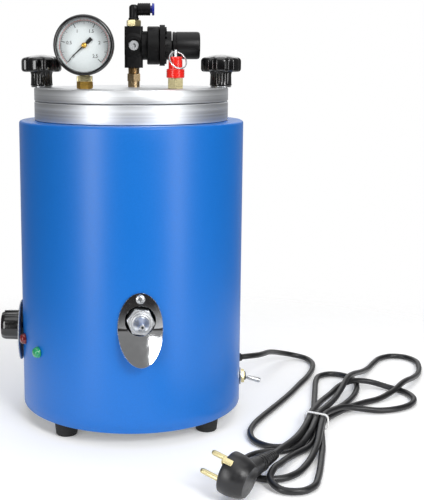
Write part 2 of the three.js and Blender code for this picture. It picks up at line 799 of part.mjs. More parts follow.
function roundedSquare(half, corner) {
  const shape = new THREE.Shape();
  const inner = half - corner;
  shape.absarc(inner, inner, corner, 0, Math.PI / 2);
  shape.absarc(-inner, inner, corner, Math.PI / 2, Math.PI);
  shape.absarc(-inner, -inner, corner, Math.PI, 1.5 * Math.PI);
  shape.absarc(inner, -inner, corner, 1.5 * Math.PI, 2 * Math.PI);
  return shape;
}

function regulatorParts() {
  const column = new THREE.ExtrudeGeometry(roundedSquare(PORT_HALF, 3), {
    depth: PORT_DOWN + PORT_UP,
    bevelEnabled: false,
    curveSegments: 3,
  });
  const boss = toFront(rod(BOSS_RADIUS, PORT_HALF - 2, PORT_HALF + 1.8));
  const side = toRight(rod(NECK_RADIUS, PORT_HALF - 1, NECK_END, 28));
  const drum = toRight(rod(DRUM_RADIUS, NECK_END - 1, DRUM_END, 28));
  const plugHole = toFront(rod(PLUG_SCREW_RADIUS + GAP, PORT_HALF - 4, PORT_HALF + 4, 16));
  const body = solid(column.translate(0, 0, -PORT_DOWN))
    .add(solid(boss))
    .add(solid(side))
    .add(solid(drum))
    .subtract(solid(plugHole))
    .subtract(solid(rod(NIPPLE_RADIUS + GAP, -PORT_DOWN - 2, -PORT_DOWN + 8)))
    .subtract(solid(rod(5 + GAP, PORT_UP - 8, PORT_UP + 2)));

  const bonnetBack = DRUM_END + GAP;
  const flange = new THREE.ExtrudeGeometry(roundedSquare(BONNET_HALF, 11), {
    depth: BONNET_END - bonnetBack,
    bevelEnabled: false,
    curveSegments: 5,
  });
  const bonnet = solid(toRight(flange.translate(0, 0, bonnetBack)))
    .add(solid(toRight(rod(COLLAR_RADIUS, BONNET_END - 1, COLLAR_END, 28))))
    .subtract(solid(toRight(rod(9, bonnetBack - 1, BONNET_END + 3))))
    .subtract(solid(toRight(rod(SPINDLE_RADIUS + GAP, bonnetBack, COLLAR_END + 1, 16))));

  const spindle = turned(
    [
      [0, bonnetBack + 1],
      [8.6, bonnetBack + 1],
      [8.6, BONNET_END],
      [SPINDLE_RADIUS, BONNET_END],
      [SPINDLE_RADIUS, COLLAR_END + KNOB_LENGTH - 6],
      [0, COLLAR_END + KNOB_LENGTH - 6],
    ],
    16,
  );

  const knobBack = COLLAR_END + 1;
  const knobFront = knobBack + KNOB_LENGTH;
  const spindleBore = SPINDLE_RADIUS + GAP;
  const knob = turned(
    [
      [spindleBore, knobBack],
      [KNOB_RADIUS, knobBack],
      [KNOB_RADIUS, knobFront - 1.5],
      [KNOB_RADIUS - 1.5, knobFront],
      [0, knobFront],
      [0, knobFront - 4],
      [spindleBore, knobFront - 4],
      [spindleBore, knobBack],
    ],
    28,
  );

  const screwFront = PORT_HALF + 1;
  const screw = solid(toFront(rod(PLUG_SCREW_RADIUS, PORT_HALF - 3.5, screwFront, 20)))
    .subtract(solid(toFront(prism(6, 4, screwFront - 2, screwFront + 1))));

  const group = groupOf(
    piece("regulator_body", body, finishes.blackPlastic),
    piece("regulator_bonnet", bonnet, finishes.blackPlastic),
    piece("regulator_spindle", solid(toRight(spindle)), finishes.steel),
    piece("regulator_knob", solid(toRight(knob)), finishes.blackPlastic),
    piece("regulator_plug", screw, finishes.chrome),
  );
  group.position.z = regulatorAxis;
  return group;
}

function nipple() {
  const bottom = lidTop + GAP;
  const hexBottom = bottom + 5.6;
  const hexTop = hexBottom + 7.6;
  const made = solid(rod(NIPPLE_RADIUS, lidBottom + 1, portBottom + 7))
    .add(solid(prism(6, NIPPLE_HEX, hexBottom, hexTop)));
  return piece("nipple", made, finishes.brass);
}

function elbowParts() {
  const nutBottom = portTop + GAP;
  const nutTop = nutBottom + ELBOW_HEX_HEIGHT;
  const axis = nutTop + ELBOW_RISE;
  const nut = solid(prism(6, ELBOW_HEX, nutBottom, nutTop).rotateZ(deg(10)))
    .add(solid(rod(5, nutBottom - 6.5, nutBottom + 1)))
    .add(solid(rod(2.4, nutTop - 1, nutTop + 5, 16)));

  const legTop = axis + ELBOW_LEG_RADIUS;
  const leg = turned([
    [0, nutTop + GAP],
    [ELBOW_LEG_RADIUS, nutTop + GAP],
    [ELBOW_LEG_RADIUS, legTop - 1.5],
    [ELBOW_LEG_RADIUS - 1.5, legTop],
    [0, legTop],
  ]);
  const arm = toRight(rod(ELBOW_LEG_RADIUS, 0, BARREL_START + 1));
  const barrel = toRight(rod(BARREL_RADIUS, BARREL_START, BARREL_END));
  const hose = toRight(rod(HOSE_RADIUS, 2, BARREL_END + 1, 16));
  const sleeveSpace = toRight(rod(HOSE_RADIUS + 1.4 + GAP, BARREL_END - 5, BARREL_END + 1, 16));
  const swivel = rod(2.4 + GAP, nutTop, nutTop + 5 + GAP, 16);
  const elbow = solid(leg)
    .add(solid(arm.translate(0, 0, axis)))
    .add(solid(barrel.translate(0, 0, axis)))
    .subtract(solid(hose.translate(0, 0, axis)))
    .subtract(solid(sleeveSpace.translate(0, 0, axis)))
    .subtract(solid(swivel));

  const lipBack = BARREL_END + RELEASE_TRAVEL;
  const lipFront = lipBack + 2.6;
  const collar = turned(
    [
      [HOSE_RADIUS, BARREL_END - 3],
      [HOSE_RADIUS + 1.4, BARREL_END - 3],
      [HOSE_RADIUS + 1.4, lipBack],
      [BARREL_RADIUS - 0.1, lipBack],
      [BARREL_RADIUS - 0.1, lipFront],
      [HOSE_RADIUS, lipFront],
      [HOSE_RADIUS, BARREL_END - 3],
    ],
    20,
  );
  return groupOf(
    piece("elbow_nut", nut, finishes.brass),
    piece("elbow_body", elbow, finishes.blackPlastic),
    piece("release_collar", solid(toRight(collar).translate(0, 0, axis)), finishes.bluePlastic),
  );
}

function regulatorGroup() {
  const group = groupOf(regulatorParts(), nipple(), elbowParts());
  group.position.set(REGULATOR_X, REGULATOR_Y, 0);
  return group;
}

// Safety valve ----------------------------------------------------------

function valveGroup() {
  const hexBottom = lidTop + GAP;
  const hexTop = hexBottom + VALVE_HEX_HEIGHT;
  const stemBore = VALVE_STEM_RADIUS + GAP;
  const base = solid(prism(6, VALVE_HEX, hexBottom, hexTop))
    .add(solid(rod(NIPPLE_RADIUS - 1, lidBottom + 1, hexBottom + 1)))
    .subtract(solid(rod(stemBore, hexTop - 3, hexTop + 1, 12)));
  const collarBottom = hexTop + GAP;
  const collarTop = collarBottom + VALVE_COLLAR_HEIGHT;
  const capTop = collarTop + VALVE_CAP_HEIGHT;
  const cap = turned([
    [stemBore, collarBottom],
    [VALVE_COLLAR_RADIUS - 0.8, collarBottom],
    [VALVE_COLLAR_RADIUS, collarBottom + 0.8],
    [VALVE_COLLAR_RADIUS, collarTop - 0.8],
    [VALVE_COLLAR_RADIUS - 0.8, collarTop],
    [VALVE_CAP_RADIUS, collarTop],
    [VALVE_CAP_RADIUS, capTop - 0.8],
    [VALVE_CAP_RADIUS - 0.8, capTop],
    [stemBore, capTop],
    [stemBore, collarBottom],
  ]);
  const eye = capTop + VALVE_STEM_RISE - 2.3;
  const eyeHole = toRight(rod(RING_WIRE + GAP, -4, 4, 12)).translate(0, 0, eye);
  const pin = rod(VALVE_STEM_RADIUS, hexTop - 2.5, capTop + VALVE_STEM_RISE, 16);
  const stem = solid(pin).subtract(solid(eyeHole));
  const ring = new THREE.TorusGeometry(RING_RADIUS, RING_WIRE, 8, 36).translate(0, -RING_RADIUS, 0);
  // The ring is drawn hanging from the eye along -Y, then swung down to lean on the cap.
  ring.rotateX(deg(90 - RING_LEAN));
  const hangingRing = piece("pull_ring", solid(ring), finishes.steel);
  hangingRing.position.z = eye;
  const group = groupOf(
    piece("valve_base", base, finishes.brass),
    piece("valve_cap", solid(cap), finishes.redPlastic),
    piece("valve_stem", stem, finishes.steel),
    hangingRing,
  );
  group.position.set(VALVE_X, VALVE_Y, 0);
  group.rotation.z = deg(VALVE_TURN);
  return group;
}

// Mains lead ------------------------------------------------------------

const PLUG_FACE = new THREE.Vector3(81.6, -217, 23.5);
const PLUG_AIM = new THREE.Vector3(-0.82, 0.512, 0.24); // the way the pins point
const PLUG_EXIT = new THREE.Vector3(0.5, 0.86, -0.12); // the way the cord leaves
const PLUG_RADIUS = 18.5;
const PLUG_DEPTH = 23;
const PIN_LENGTH = 19;
const PIN_RADIUS = 2.4;
const PIN_SPACING = 19;
const PIN_TURN = 45; // the pins stand round from the cord's side by this angle
const EXIT_DEPTH = 11;
const EXIT_RADIUS = 8.4;
const SLEEVE_START = 36;
const SLEEVE_LENGTH = 43.8;
const SLEEVE_RADIUS = 8;
const SLEEVE_TIP_RADIUS = 4.4;
const TIE_PLACE = new THREE.Vector3(184, -62, 0);
const TIE_ANGLE = -30;
const TIE_WIDTH = 2.4;
const TIE_METAL = 1.1;
const TIE_STRANDS_ACROSS = 8.5; // from the middle of the bundle to the middle of its outer strands
const TIE_STRANDS_UP = 12.1; // from the ground, with the room left over the upper strands

// Out of the gland, down to the floor, five loops through the tie, and back to the plug.
// Each row is one stretch. Strands lie a cord's width apart, and cross in low humps.
const CORD_ROUTE = [
  [120.3, 58.7, 36], [131, 64, 35.5], [141, 74, 33.5], [150, 91, 30], [158, 111, 25.5], [167, 131, 19.5],
  [179, 150, 12.5], [193, 161, 7], [208, 158, 4], [214, 142, 3.4], [211, 119, 3.4], [201, 91, 3.4],
  [186, 60, 3.4], [172, 31, 3.4], [158, 5, 3.4], [145, -18, 3.4], [132, -41, 3.4], [121, -64, 3.4],
  [116, -85, 3.4], [119, -104, 3.4], [132, -117, 3.4], [149, -116, 3.4], [162, -102, 3.4], [169, -87, 4],

  [173.8, -71.4, 4.8], [181, -48.4, 4.8], [187, -28, 3.8], [192, -4, 3.4], [197, 22, 3.4], [202, 48, 3.4],
  [207, 72, 3.4], [214, 90, 3.4], [228, 98, 3.4], [243, 92, 3.4], [251, 75, 3.4], [249, 52, 3.4],
  [240, 25, 3.4], [224, -3, 3.4], [203.5, -28, 3.8], [187.6, -50.6, 4.8], [180.4, -73.4, 4.8],

  [175, -99, 3.8], [166, -119, 3.4], [153, -134, 3.6], [143, -149, 5.5], [134.5, -166, 8], [126, -182, 9.9],
  [121, -198, 7], [129, -211, 3.9], [145, -213, 3.4], [158, -203, 3.4], [165, -184, 3.4], [170, -165, 3.4],
  [175, -143, 3.4], [180, -120, 3.4], [183.5, -98, 3.8], [187, -75.6, 4.8], [194.2, -52.8, 4.8],

  [211.5, -29, 3.8], [228, -11, 3.4], [245, 2, 3.4], [264, 14, 3.4], [283, 30, 6.2], [300, 50, 9.9],
  [317, 75, 6.4], [330, 100, 3.4], [338, 125, 3.4], [340, 147, 3.4], [331, 163, 3.4], [315, 167, 3.4],
  [299, 157, 3.4], [288, 140, 3.4], [276, 118, 3.4], [263, 94, 7.3], [249, 69, 13.3], [237, 46, 16.4],
  [226, 22, 12.8], [214, -3, 10.2], [200.5, -28, 10.4], [187.6, -50.6, 11.2], [180.4, -73.4, 11.2],

  [171.5, -98, 9.6], [159, -117, 5], [144, -126, 3.4], [128, -129, 3.4], [113, -136, 3.4], [103, -149, 3.4],
  [100, -165, 3.4], [105, -180, 3.4], [118, -189, 3.4], [134, -187, 3.4], [148, -176, 3.4], [158, -160, 3.6],
  [167, -141, 4.8], [175, -120, 7.4], [181, -98, 9.8], [187, -75.6, 11.2], [194.2, -52.8, 11.2],

  [206, -37, 10.2], [220, -25, 8.8], [237, -20, 5], [256, -21, 3.4], [276, -16, 3.4], [293, -4, 3.4],
  [302, 14, 3.4], [299, 34, 3.4], [284, 50, 3.9], [265, 58, 7.4], [247, 55, 9.9], [229, 41, 9.7],
  [213, 18, 7.4], [200, -5, 8.4], [190, -27, 10], [181, -48.4, 11.2], [173.8, -71.4, 11.2],

  [165.5, -92, 10.2], [156.5, -111, 10.2], [147, -127, 10.6], [138.5, -140, 11.2], [130.6, -153.2, 11.4],
];

// A spline that steps from one point of its route to the next.
class Route extends THREE.CatmullRomCurve3 {
  getPointAt(share) {
    return this.getPoint(share);
  }

  getTangentAt(share) {
    return this.getTangent(share);
  }
}

function powerCord() {
  const route = new Route(CORD_ROUTE.map((point) => new THREE.Vector3(...point)));
  const section = new THREE.Shape().absarc(0, 0, CORD_DIAMETER / 2, 0, 2 * Math.PI);
  const steps = CORD_ROUTE.length - 1;
  const shape = new THREE.ExtrudeGeometry(section, { extrudePath: route, steps, curveSegments: 4 });
  return piece("power_cord", solid(shape), finishes.cordPlastic);
}

// A band round the six strands, two deep and three across.
function cordTie() {
  const band = (half, bottom, top) => {
    const corner = 3.4;
    const width = half - corner;
    const shape = new THREE.Shape();
    shape.absarc(width, top - corner, corner, 0, Math.PI / 2);
    shape.absarc(-width, top - corner, corner, Math.PI / 2, Math.PI);
    shape.absarc(-width, bottom + corner, corner, Math.PI, 1.5 * Math.PI);
    shape.absarc(width, bottom + corner, corner, 1.5 * Math.PI, 2 * Math.PI);
    return shape;
  };
  const strand = CORD_DIAMETER / 2;
  const bundle = [TIE_STRANDS_ACROSS + strand, 0.2 + TIE_METAL, TIE_STRANDS_UP + strand];
  const outer = band(bundle[0] + TIE_METAL, bundle[1] - TIE_METAL, bundle[2] + TIE_METAL);
  outer.holes.push(band(...bundle));
  const shape = new THREE.ExtrudeGeometry(outer, { depth: TIE_WIDTH, bevelEnabled: false, curveSegments: 4 });
  shape.translate(0, 0, -TIE_WIDTH / 2).rotateX(Math.PI / 2);
  const tie = piece("cord_tie", solid(shape), finishes.whitePlastic);
  tie.position.copy(TIE_PLACE);
  tie.rotation.z = deg(TIE_ANGLE);
  return tie;
}

// One strip of metal across the plug's face, between the pins and down both flanks.
function earthStrip() {
  const outside = PLUG_RADIUS + GAP;
  const across = solid(block(-2.6, 2.6, -outside - 1, outside + 1, GAP, GAP + 1));
  const flanks = [-1, 1].map((side) => {
    const reach = [side * outside, side * (outside + 1)].sort((a, b) => a - b);
    return solid(block(-2.6, 2.6, ...reach, -8, GAP + 1));
  });
  return across.add(flanks[0]).add(flanks[1]);
}

// Built with the pins along +Z and the cord leaving along +Y.
function plug() {
  const body = turned(
    [
      [0, 0],
      [PLUG_RADIUS - 1, 0],
      [PLUG_RADIUS, -1],
      [PLUG_RADIUS, -10],
      [PLUG_RADIUS - 4, -PLUG_DEPTH],
      [0, -PLUG_DEPTH],
    ],
    28,
  );
  const toBack = (geometry) => geometry.rotateX(-Math.PI / 2).translate(0, 0, -EXIT_DEPTH);
  const neck = toBack(turned([[0, 4], [10.5, 4], [EXIT_RADIUS, SLEEVE_START], [0, SLEEVE_START]], 20));
  const sleeveFrom = SLEEVE_START + GAP;
  const sleeveTo = SLEEVE_START + SLEEVE_LENGTH;
  const sleeve = toBack(turned([
    [0, sleeveFrom],
    [SLEEVE_RADIUS, sleeveFrom],
    [SLEEVE_RADIUS - 0.6, sleeveFrom + 20],
    [SLEEVE_TIP_RADIUS, sleeveTo],
    [0, sleeveTo],
  ], 20));
  const face = groupOf(
    ...[-1, 1].map((side) => {
      const tip = PIN_LENGTH + GAP;
      const pin = turned([
        [0, GAP],
        [PIN_RADIUS, GAP],
        [PIN_RADIUS, tip - 1.5],
        [PIN_RADIUS - 1.2, tip],
        [0, tip],
      ], 14);
      const shape = solid(pin.translate((side * PIN_SPACING) / 2, 0, 0));
      return piece(side < 0 ? "plug_pin_left" : "plug_pin_right", shape, finishes.brass);
    }),
    piece("earth_strip", earthStrip(), finishes.steel),
  );
  face.rotation.z = deg(PIN_TURN);
  const group = groupOf(
    piece("plug_body", solid(body).add(solid(neck)), finishes.cordPlastic),
    piece("plug_sleeve", solid(sleeve), finishes.cordPlastic),
    face,
  );
  const aim = PLUG_AIM.clone().normalize();
  const exit = PLUG_EXIT.clone().addScaledVector(aim, -aim.dot(PLUG_EXIT)).normalize();
  const across = new THREE.Vector3().crossVectors(exit, aim);
  group.quaternion.setFromRotationMatrix(new THREE.Matrix4().makeBasis(across, exit, aim));
  group.position.copy(PLUG_FACE);
  return group;
}

// -----------------------------------------------------------------------

const standing = groupOf(
  outerShell(),
  bottomPlate(),
  ...feet(),
  tank(),
  lidGasket(),
  insulationJacket(),
  heatingPlate(),
  nozzleGroup(),
  thermostatGroup(),
  thermostatBulb(),
  lamp("red_lamp", RED_LAMP_ANGLE, RED_LAMP_HEIGHT, finishes.redLens),
  lamp("green_lamp", GREEN_LAMP_ANGLE, GREEN_LAMP_HEIGHT, finishes.greenLens),
  switchGroup(),
  cableGland(),
  terminalBlock(),
  lid(),
  clamp(-1, "left"),
  clamp(1, "right"),
  gaugeGroup(),
  regulatorGroup(),
  valveGroup(),
);

// The origin is under the middle of everything but the mains lead, at floor level.
standing.updateMatrixWorld(true);
const middle = new THREE.Box3().setFromObject(standing, true).getCenter(new THREE.Vector3());
const pot = groupOf(standing, powerCord(), cordTie(), plug());
pot.position.set(-middle.x, -middle.y, 0);
export default groupOf(pot);
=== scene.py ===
import math

import bmesh
import bpy
from bpy.props import FloatProperty, FloatVectorProperty, IntProperty, PointerProperty
from mathutils import Matrix, Vector


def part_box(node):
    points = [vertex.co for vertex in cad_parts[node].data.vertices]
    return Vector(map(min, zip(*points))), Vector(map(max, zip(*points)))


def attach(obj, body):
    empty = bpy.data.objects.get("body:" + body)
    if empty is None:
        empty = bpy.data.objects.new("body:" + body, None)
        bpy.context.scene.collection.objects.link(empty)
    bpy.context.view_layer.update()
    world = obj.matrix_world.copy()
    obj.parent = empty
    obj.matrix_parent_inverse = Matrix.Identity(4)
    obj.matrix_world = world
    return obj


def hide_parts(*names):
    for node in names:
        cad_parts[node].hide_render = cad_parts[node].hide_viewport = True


bl_info = {
    "name": "Heated pressure pot",
    "version": (1, 0, 0),
    "blender": (4, 5, 0),
    "location": "3D Viewport > Sidebar > Pressure Pot",
    "description": "Builds the finished look of a heated pressure pot on its CAD frame",
    "category": "Add Mesh",
}

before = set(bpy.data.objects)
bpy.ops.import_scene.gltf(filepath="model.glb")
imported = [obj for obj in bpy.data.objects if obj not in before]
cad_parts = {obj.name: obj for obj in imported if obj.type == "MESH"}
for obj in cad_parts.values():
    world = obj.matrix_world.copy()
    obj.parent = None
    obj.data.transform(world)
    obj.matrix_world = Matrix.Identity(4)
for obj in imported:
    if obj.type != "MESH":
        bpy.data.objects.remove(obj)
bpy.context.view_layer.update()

# Pieces are modelled in millimetres from the pot's own upright axis, and moved into the frame.
MM = 0.001
tank_low, tank_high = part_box("tank")
POT_AXIS = Vector(((tank_low.x + tank_high.x) / 2, (tank_low.y + tank_high.y) / 2, 0))
TO_FRAME = Matrix.Translation(POT_AXIS) @ Matrix.Scale(MM, 4)

SHELL_TOP = 302.7
SHELL_FOOT = 14.0
FLANGE_TOP = 321.4
LID_BOTTOM = 322.1
LID_TOP = 334.8
NOZZLE_HEIGHT = 124.0
THERMOSTAT_HEIGHT = 89.0
DIAL_DROP = 4.5  # from the thermostat knob down to the middle of its plate
LAMPS = (("red_lamp", -71.5, 84.6, "red_lens"), ("green_lamp", -53.5, 80.0, "green_lens"))
FRONT_TURN = 4.8  # degrees that the nozzle and the feet stand round from the front
SHELL_WALL = 1.5
SHELL_EDGE = 2.5
GAUGE_SPOT = (-43.9, -45)
GAUGE_RISE = 41.1
REGULATOR_SPOT = (2.4, 20)
REGULATOR_RISE = 41.8
VALVE_SPOT = (42.9, -45)
STUD_REACH = 89.8
THREAD_FOOT = 323.1
DIAL_START, DIAL_SWEEP = 225, 270  # degrees
SCREW_RISE = 20.7
SWITCH_HEIGHT = 34
GLAND_TURN, GLAND_HEIGHT = 116, 36
ROOM_LIGHT = 0.6

FRONT = Matrix.Rotation(math.pi / 2, 4, "X")  # turns +Z to -Y
RIGHT = Matrix.Rotation(math.pi / 2, 4, "Y")  # turns +Z to +X
LEFT = Matrix.Rotation(-math.pi / 2, 4, "Y")


def linear(hex_code):
    """An sRGB hex colour as linear red, green, blue and alpha."""
    channels = [int(hex_code[i : i + 2], 16) / 255 for i in (1, 3, 5)]
    curve = [c / 12.92 if c <= 0.04045 else ((c + 0.055) / 1.055) ** 2.4 for c in channels]
    return (*curve, 1.0)


def colour_property(name, description, hex_code):
    return FloatVectorProperty(
        name=name, description=description, subtype="COLOR", size=4, min=0, max=1, default=linear(hex_code)
    )


def millimetres(name, description, default):
    return FloatProperty(name=name, description=description, unit="LENGTH", default=default * MM, min=0)


class PotSizes(bpy.types.PropertyGroup):
    """Sizes that don't move a piece out of its CAD solid."""

    shell_radius: millimetres("Shell radius", "Outside radius of the blue shell", 112.5)
    lid_radius: millimetres("Lid radius", "Outside radius of the lid and the flange", 97)
    knob_radius: millimetres("Knob radius", "Radius over the lobes of a clamp knob", 20)
    knob_lobes: IntProperty(name="Knob lobes", description="Lobes on a clamp knob", default=7, min=3, max=12)
    gauge_radius: millimetres("Gauge radius", "Outside radius of the gauge", 28.5)
    cord_diameter: millimetres("Cord diameter", "Thickness of the mains lead", 6.2)
    ring_wire: millimetres("Ring wire", "Thickness of the pull ring, both turns together", 1.3)
    edge: millimetres("Edge", "Rounding of machined and moulded edges", 0.35)


class PotColours(bpy.types.PropertyGroup):
    """Colours of the pot's finishes."""

    blue: colour_property("Shell", "Blue powder coat", "#0268C0")
    aluminium: colour_property("Aluminium", "Turned lid and flange", "#DFE1E3")
    steel: colour_property("Steel", "Bright steel parts", "#C6C8CA")
    chrome: colour_property("Chrome", "Escutcheon", "#E2E4E6")
    brass: colour_property("Brass", "Gauge stem and hub", "#D9AE55")
    dull_brass: colour_property("Dull brass", "Nipple", "#B7A07C")
    pale_brass: colour_property("Pale brass", "Nickel-washed hexagons", "#D6CA9C")
    knob_black: colour_property("Knobs", "Clamp and thermostat knobs", "#0B0B0C")
    regulator_black: colour_property("Regulator", "Painted regulator", "#070708")
    cap_red: colour_property("Valve cap", "Relief valve's cap", "#E5281E")
    collar_blue: colour_property("Collar", "Release collar of the hose elbow", "#1E2A96")
    red_lens: colour_property("Red lamp", "Heating lamp", "#7E0F1A")
    green_lens: colour_property("Green lamp", "Mains lamp", "#1DA56B")
    dial: colour_property("Dial", "Face of the gauge", "#E0E7E8")
    cord: colour_property("Cord", "Mains lead, plug and sleeve", "#151517")
    tie: colour_property("Tie", "Tie round the lead", "#F2F2F0")


def sizes():
    return bpy.context.scene.pot_sizes


def colours():
    return bpy.context.scene.pot_colours


# Modelling ---------------------------------------------------------------


def turned(points, sides=96):
    """(radius, height) points spun about the upright axis."""
    bm = bmesh.new()
    line = [bm.verts.new((radius, 0, height)) for radius, height in points]
    edges = [bm.edges.new(pair) for pair in zip(line, line[1:])]
    bmesh.ops.spin(
        bm, geom=line + edges, cent=(0, 0, 0), axis=(0, 0, 1), angle=2 * math.pi, steps=sides, use_merge=True
    )
    return bm


def ringed(rings, outline, sides):
    """A capped solid of rings, each (size, height, share of the outline's waviness)."""
    bm = bmesh.new()
    bmesh.ops.create_circle(bm, cap_ends=False, segments=sides, radius=1)
    ring = set(bm.verts)
    for step, (size, height, share) in enumerate(rings):
        if step:
            edges = [edge for edge in bm.edges if edge.verts[0] in ring and edge.verts[1] in ring]
            made = bmesh.ops.extrude_edge_only(bm, edges=edges)["geom"]
            ring = {part for part in made if isinstance(part, bmesh.types.BMVert)}
        for vert in ring:
            angle = math.atan2(vert.co.y, vert.co.x)
            radius = size * (1 - share * outline(angle))
            vert.co = (radius * math.cos(angle), radius * math.sin(angle), height)
    bmesh.ops.holes_fill(bm, edges=[edge for edge in bm.edges if edge.is_boundary], sides=0)
    return bm


def rod(radius, low, high, sides=48, tip=None):
    bm = bmesh.new()
    bmesh.ops.create_cone(
        bm,
        cap_ends=True,
        segments=sides,
        radius1=radius,
        radius2=radius if tip is None else tip,
        depth=high - low,
        matrix=Matrix.Translation((0, 0, (low + high) / 2)),
    )
    return bm


def prism(sides, across_flats, low, high, turn=0):
    """A bar with flat sides and a corner at +Y, its ends chamfered as a nut's are."""
    corner = across_flats / 2 / math.cos(math.pi / sides)
    bm = rod(corner, low, high, sides)
    chamfer = min(corner - across_flats / 2, (high - low) / 4)
    cone = turned(
        [
            (0, low - 1),
            (corner - chamfer - 1, low - 1),
            (corner + 0.6, low + (chamfer + 0.6) * 0.6),
            (corner + 0.6, high - (chamfer + 0.6) * 0.6),
            (corner - chamfer - 1, high + 1),
            (0, high + 1),
        ]
    )
    bm = combined(bm, "INTERSECT", cone)
    return moved(bm, Matrix.Rotation(math.radians(turn), 4, "Z"))


def block(low, high, corner=0.0, axis=None, segments=4):
    """A box between two corners, the edges along one axis rounded off where it is named."""
    bm = bmesh.new()
    low, high = Vector(low), Vector(high)
    bmesh.ops.create_cube(bm, size=1)
    bmesh.ops.scale(bm, vec=high - low, verts=bm.verts)
    bmesh.ops.translate(bm, vec=(low + high) / 2, verts=bm.verts)
    if corner:
        edges = list(bm.edges)
        if axis is not None:
            edges = [e for e in edges if abs((e.verts[0].co - e.verts[1].co).normalized()[axis]) > 0.9]
        bmesh.ops.bevel(
            bm, geom=edges, offset=corner, segments=segments, profile=0.5, affect="EDGES", material=-1
        )
    return bm


def torus(radius, wire, sides=96, around=16):
    bm = bmesh.new()
    bmesh.ops.create_circle(
        bm, segments=around, radius=wire,
        matrix=Matrix.Translation((radius, 0, 0)) @ Matrix.Rotation(math.pi / 2, 4, "X")
    )
    bmesh.ops.spin(
        bm,
        geom=list(bm.verts) + list(bm.edges),
        cent=(0, 0, 0),
        axis=(0, 0, 1),
        angle=2 * math.pi,
        steps=sides,
        use_merge=True,
    )
    return bm


def moved(bm, *places):
    for place in places:
        bmesh.ops.transform(bm, matrix=place, verts=bm.verts)
    return bm


def tidy(bm):
    bmesh.ops.remove_doubles(bm, verts=bm.verts, dist=1e-4)
    bmesh.ops.recalc_face_normals(bm, faces=bm.faces)
    return bm


def joined(*parts):
    """Several shapes in one mesh, each left whole."""
    whole = bmesh.new()
    for part in parts:
        mesh = bpy.data.meshes.new("part")
        tidy(part).to_mesh(mesh)
        part.free()
        whole.from_mesh(mesh)
        bpy.data.meshes.remove(mesh)
    return whole


def combined(first, operation, *others):
    """A boolean of one shape with each of the others."""
    objects = []
    for bm in (first, *others):
        mesh = bpy.data.meshes.new("working")
        tidy(bm).to_mesh(mesh)
        bm.free()
        objects.append(bpy.data.objects.new("working", mesh))
        bpy.context.scene.collection.objects.link(objects[-1])
    for other in objects[1:]:
        modifier = objects[0].modifiers.new("cut", "BOOLEAN")
        modifier.operation, modifier.object, modifier.solver = operation, other, "EXACT"
    shown = objects[0].evaluated_get(bpy.context.evaluated_depsgraph_get())
    result = bmesh.new()
    result.from_mesh(shown.to_mesh())
    shown.to_mesh_clear()
    for working in objects:
        mesh = working.data
        bpy.data.objects.remove(working)
        bpy.data.meshes.remove(mesh)
    return result


def cut(bm, *others):
    return combined(bm, "DIFFERENCE", *others)


def placed(x=0.0, y=0.0, z=0.0, turn=0.0, way=Matrix()):
    """Turned to point a way, then round the upright axis, then moved."""
    return Matrix.Translation((x, y, z)) @ Matrix.Rotation(math.radians(turn), 4, "Z") @ way


def around(angle, height, way=FRONT):
    """On the shell's wall, `angle` degrees round from the front towards the right."""
    return Matrix.Translation((0, 0, height)) @ Matrix.Rotation(math.radians(angle), 4, "Z") @ way


def finished(name, bm, material, body, place=Matrix(), rounding=0.0, sharp=32, replaced=None):
    """A mesh made a piece of the object: placed, smoothed, coloured and given its body.

    It replaces the node of its own name, unless `replaced` says otherwise.
    """
    replaced = name if replaced is None else replaced
    tidy(moved(bm, place, TO_FRAME))
    mesh = bpy.data.meshes.new(name)
    bmesh.ops.recalc_face_normals(bm, faces=bm.faces)
    bm.to_mesh(mesh)
    bm.free()
    mesh.materials.append(material)
    mesh.shade_smooth()
    mesh.set_sharp_from_angle(angle=math.radians(sharp))
    piece = bpy.data.objects.new(name, mesh)
    bpy.context.scene.collection.objects.link(piece)
    if rounding:
        bevel = piece.modifiers.new("Edges", "BEVEL")
        bevel.width = rounding * MM
        bevel.segments = 2
        bevel.limit_method = "ANGLE"
        bevel.angle_limit = math.radians(38)
        bevel.use_clamp_overlap = True
        bevel.harden_normals = True
    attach(piece, body)
    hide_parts(*([replaced] if isinstance(replaced, str) else replaced))
    return piece


# Materials ---------------------------------------------------------------


def add(tree, kind, inputs=None, **settings):
    """A node with its settings, and its inputs set or linked."""
    made = tree.nodes.new(kind)
    for key, value in settings.items():
        setattr(made, key, value)
    for key, value in (inputs or {}).items():
        if isinstance(value, bpy.types.NodeSocket):
            tree.links.new(value, made.inputs[key])
        else:
            made.inputs[key].default_value = value
    return made


def shaded(name, **sockets):
    """A material with one principled shader, whose even values are set on its sockets."""
    made = bpy.data.materials.new(name)
    made.use_nodes = True
    shader = made.node_tree.nodes["Principled BSDF"]
    for key, value in sockets.items():
        shader.inputs[key.replace("_", " ")].default_value = value
    return made, made.node_tree, shader


def tinted(colour, light):
    return tuple(min(1, c * light) for c in colour[:3]) + (1,)


def patterned(tree, shader, colour, pattern, spread, gloss, depth, strength=1.0):
    """One pattern drives small changes of tone, gloss and height. depth is in millimetres."""
    ramp = add(tree, "ShaderNodeValToRGB", {"Fac": pattern})
    ramp.color_ramp.elements[0].color = tinted(colour, 1 - spread)
    ramp.color_ramp.elements[1].color = tinted(colour, 1 + spread)
    ramp.color_ramp.elements[0].position, ramp.color_ramp.elements[1].position = 0.3, 0.7
    rough = add(
        tree, "ShaderNodeMapRange",
        {"Value": pattern, "From Min": 0.3, "From Max": 0.7, "To Min": gloss[0], "To Max": gloss[1]}
    )
    tree.links.new(ramp.outputs["Color"], shader.inputs["Base Color"])
    tree.links.new(rough.outputs["Result"], shader.inputs["Roughness"])
    if depth:
        bump = add(tree, "ShaderNodeBump", {"Height": pattern, "Distance": depth * MM, "Strength": strength})
        tree.links.new(bump.outputs["Normal"], shader.inputs["Normal"])


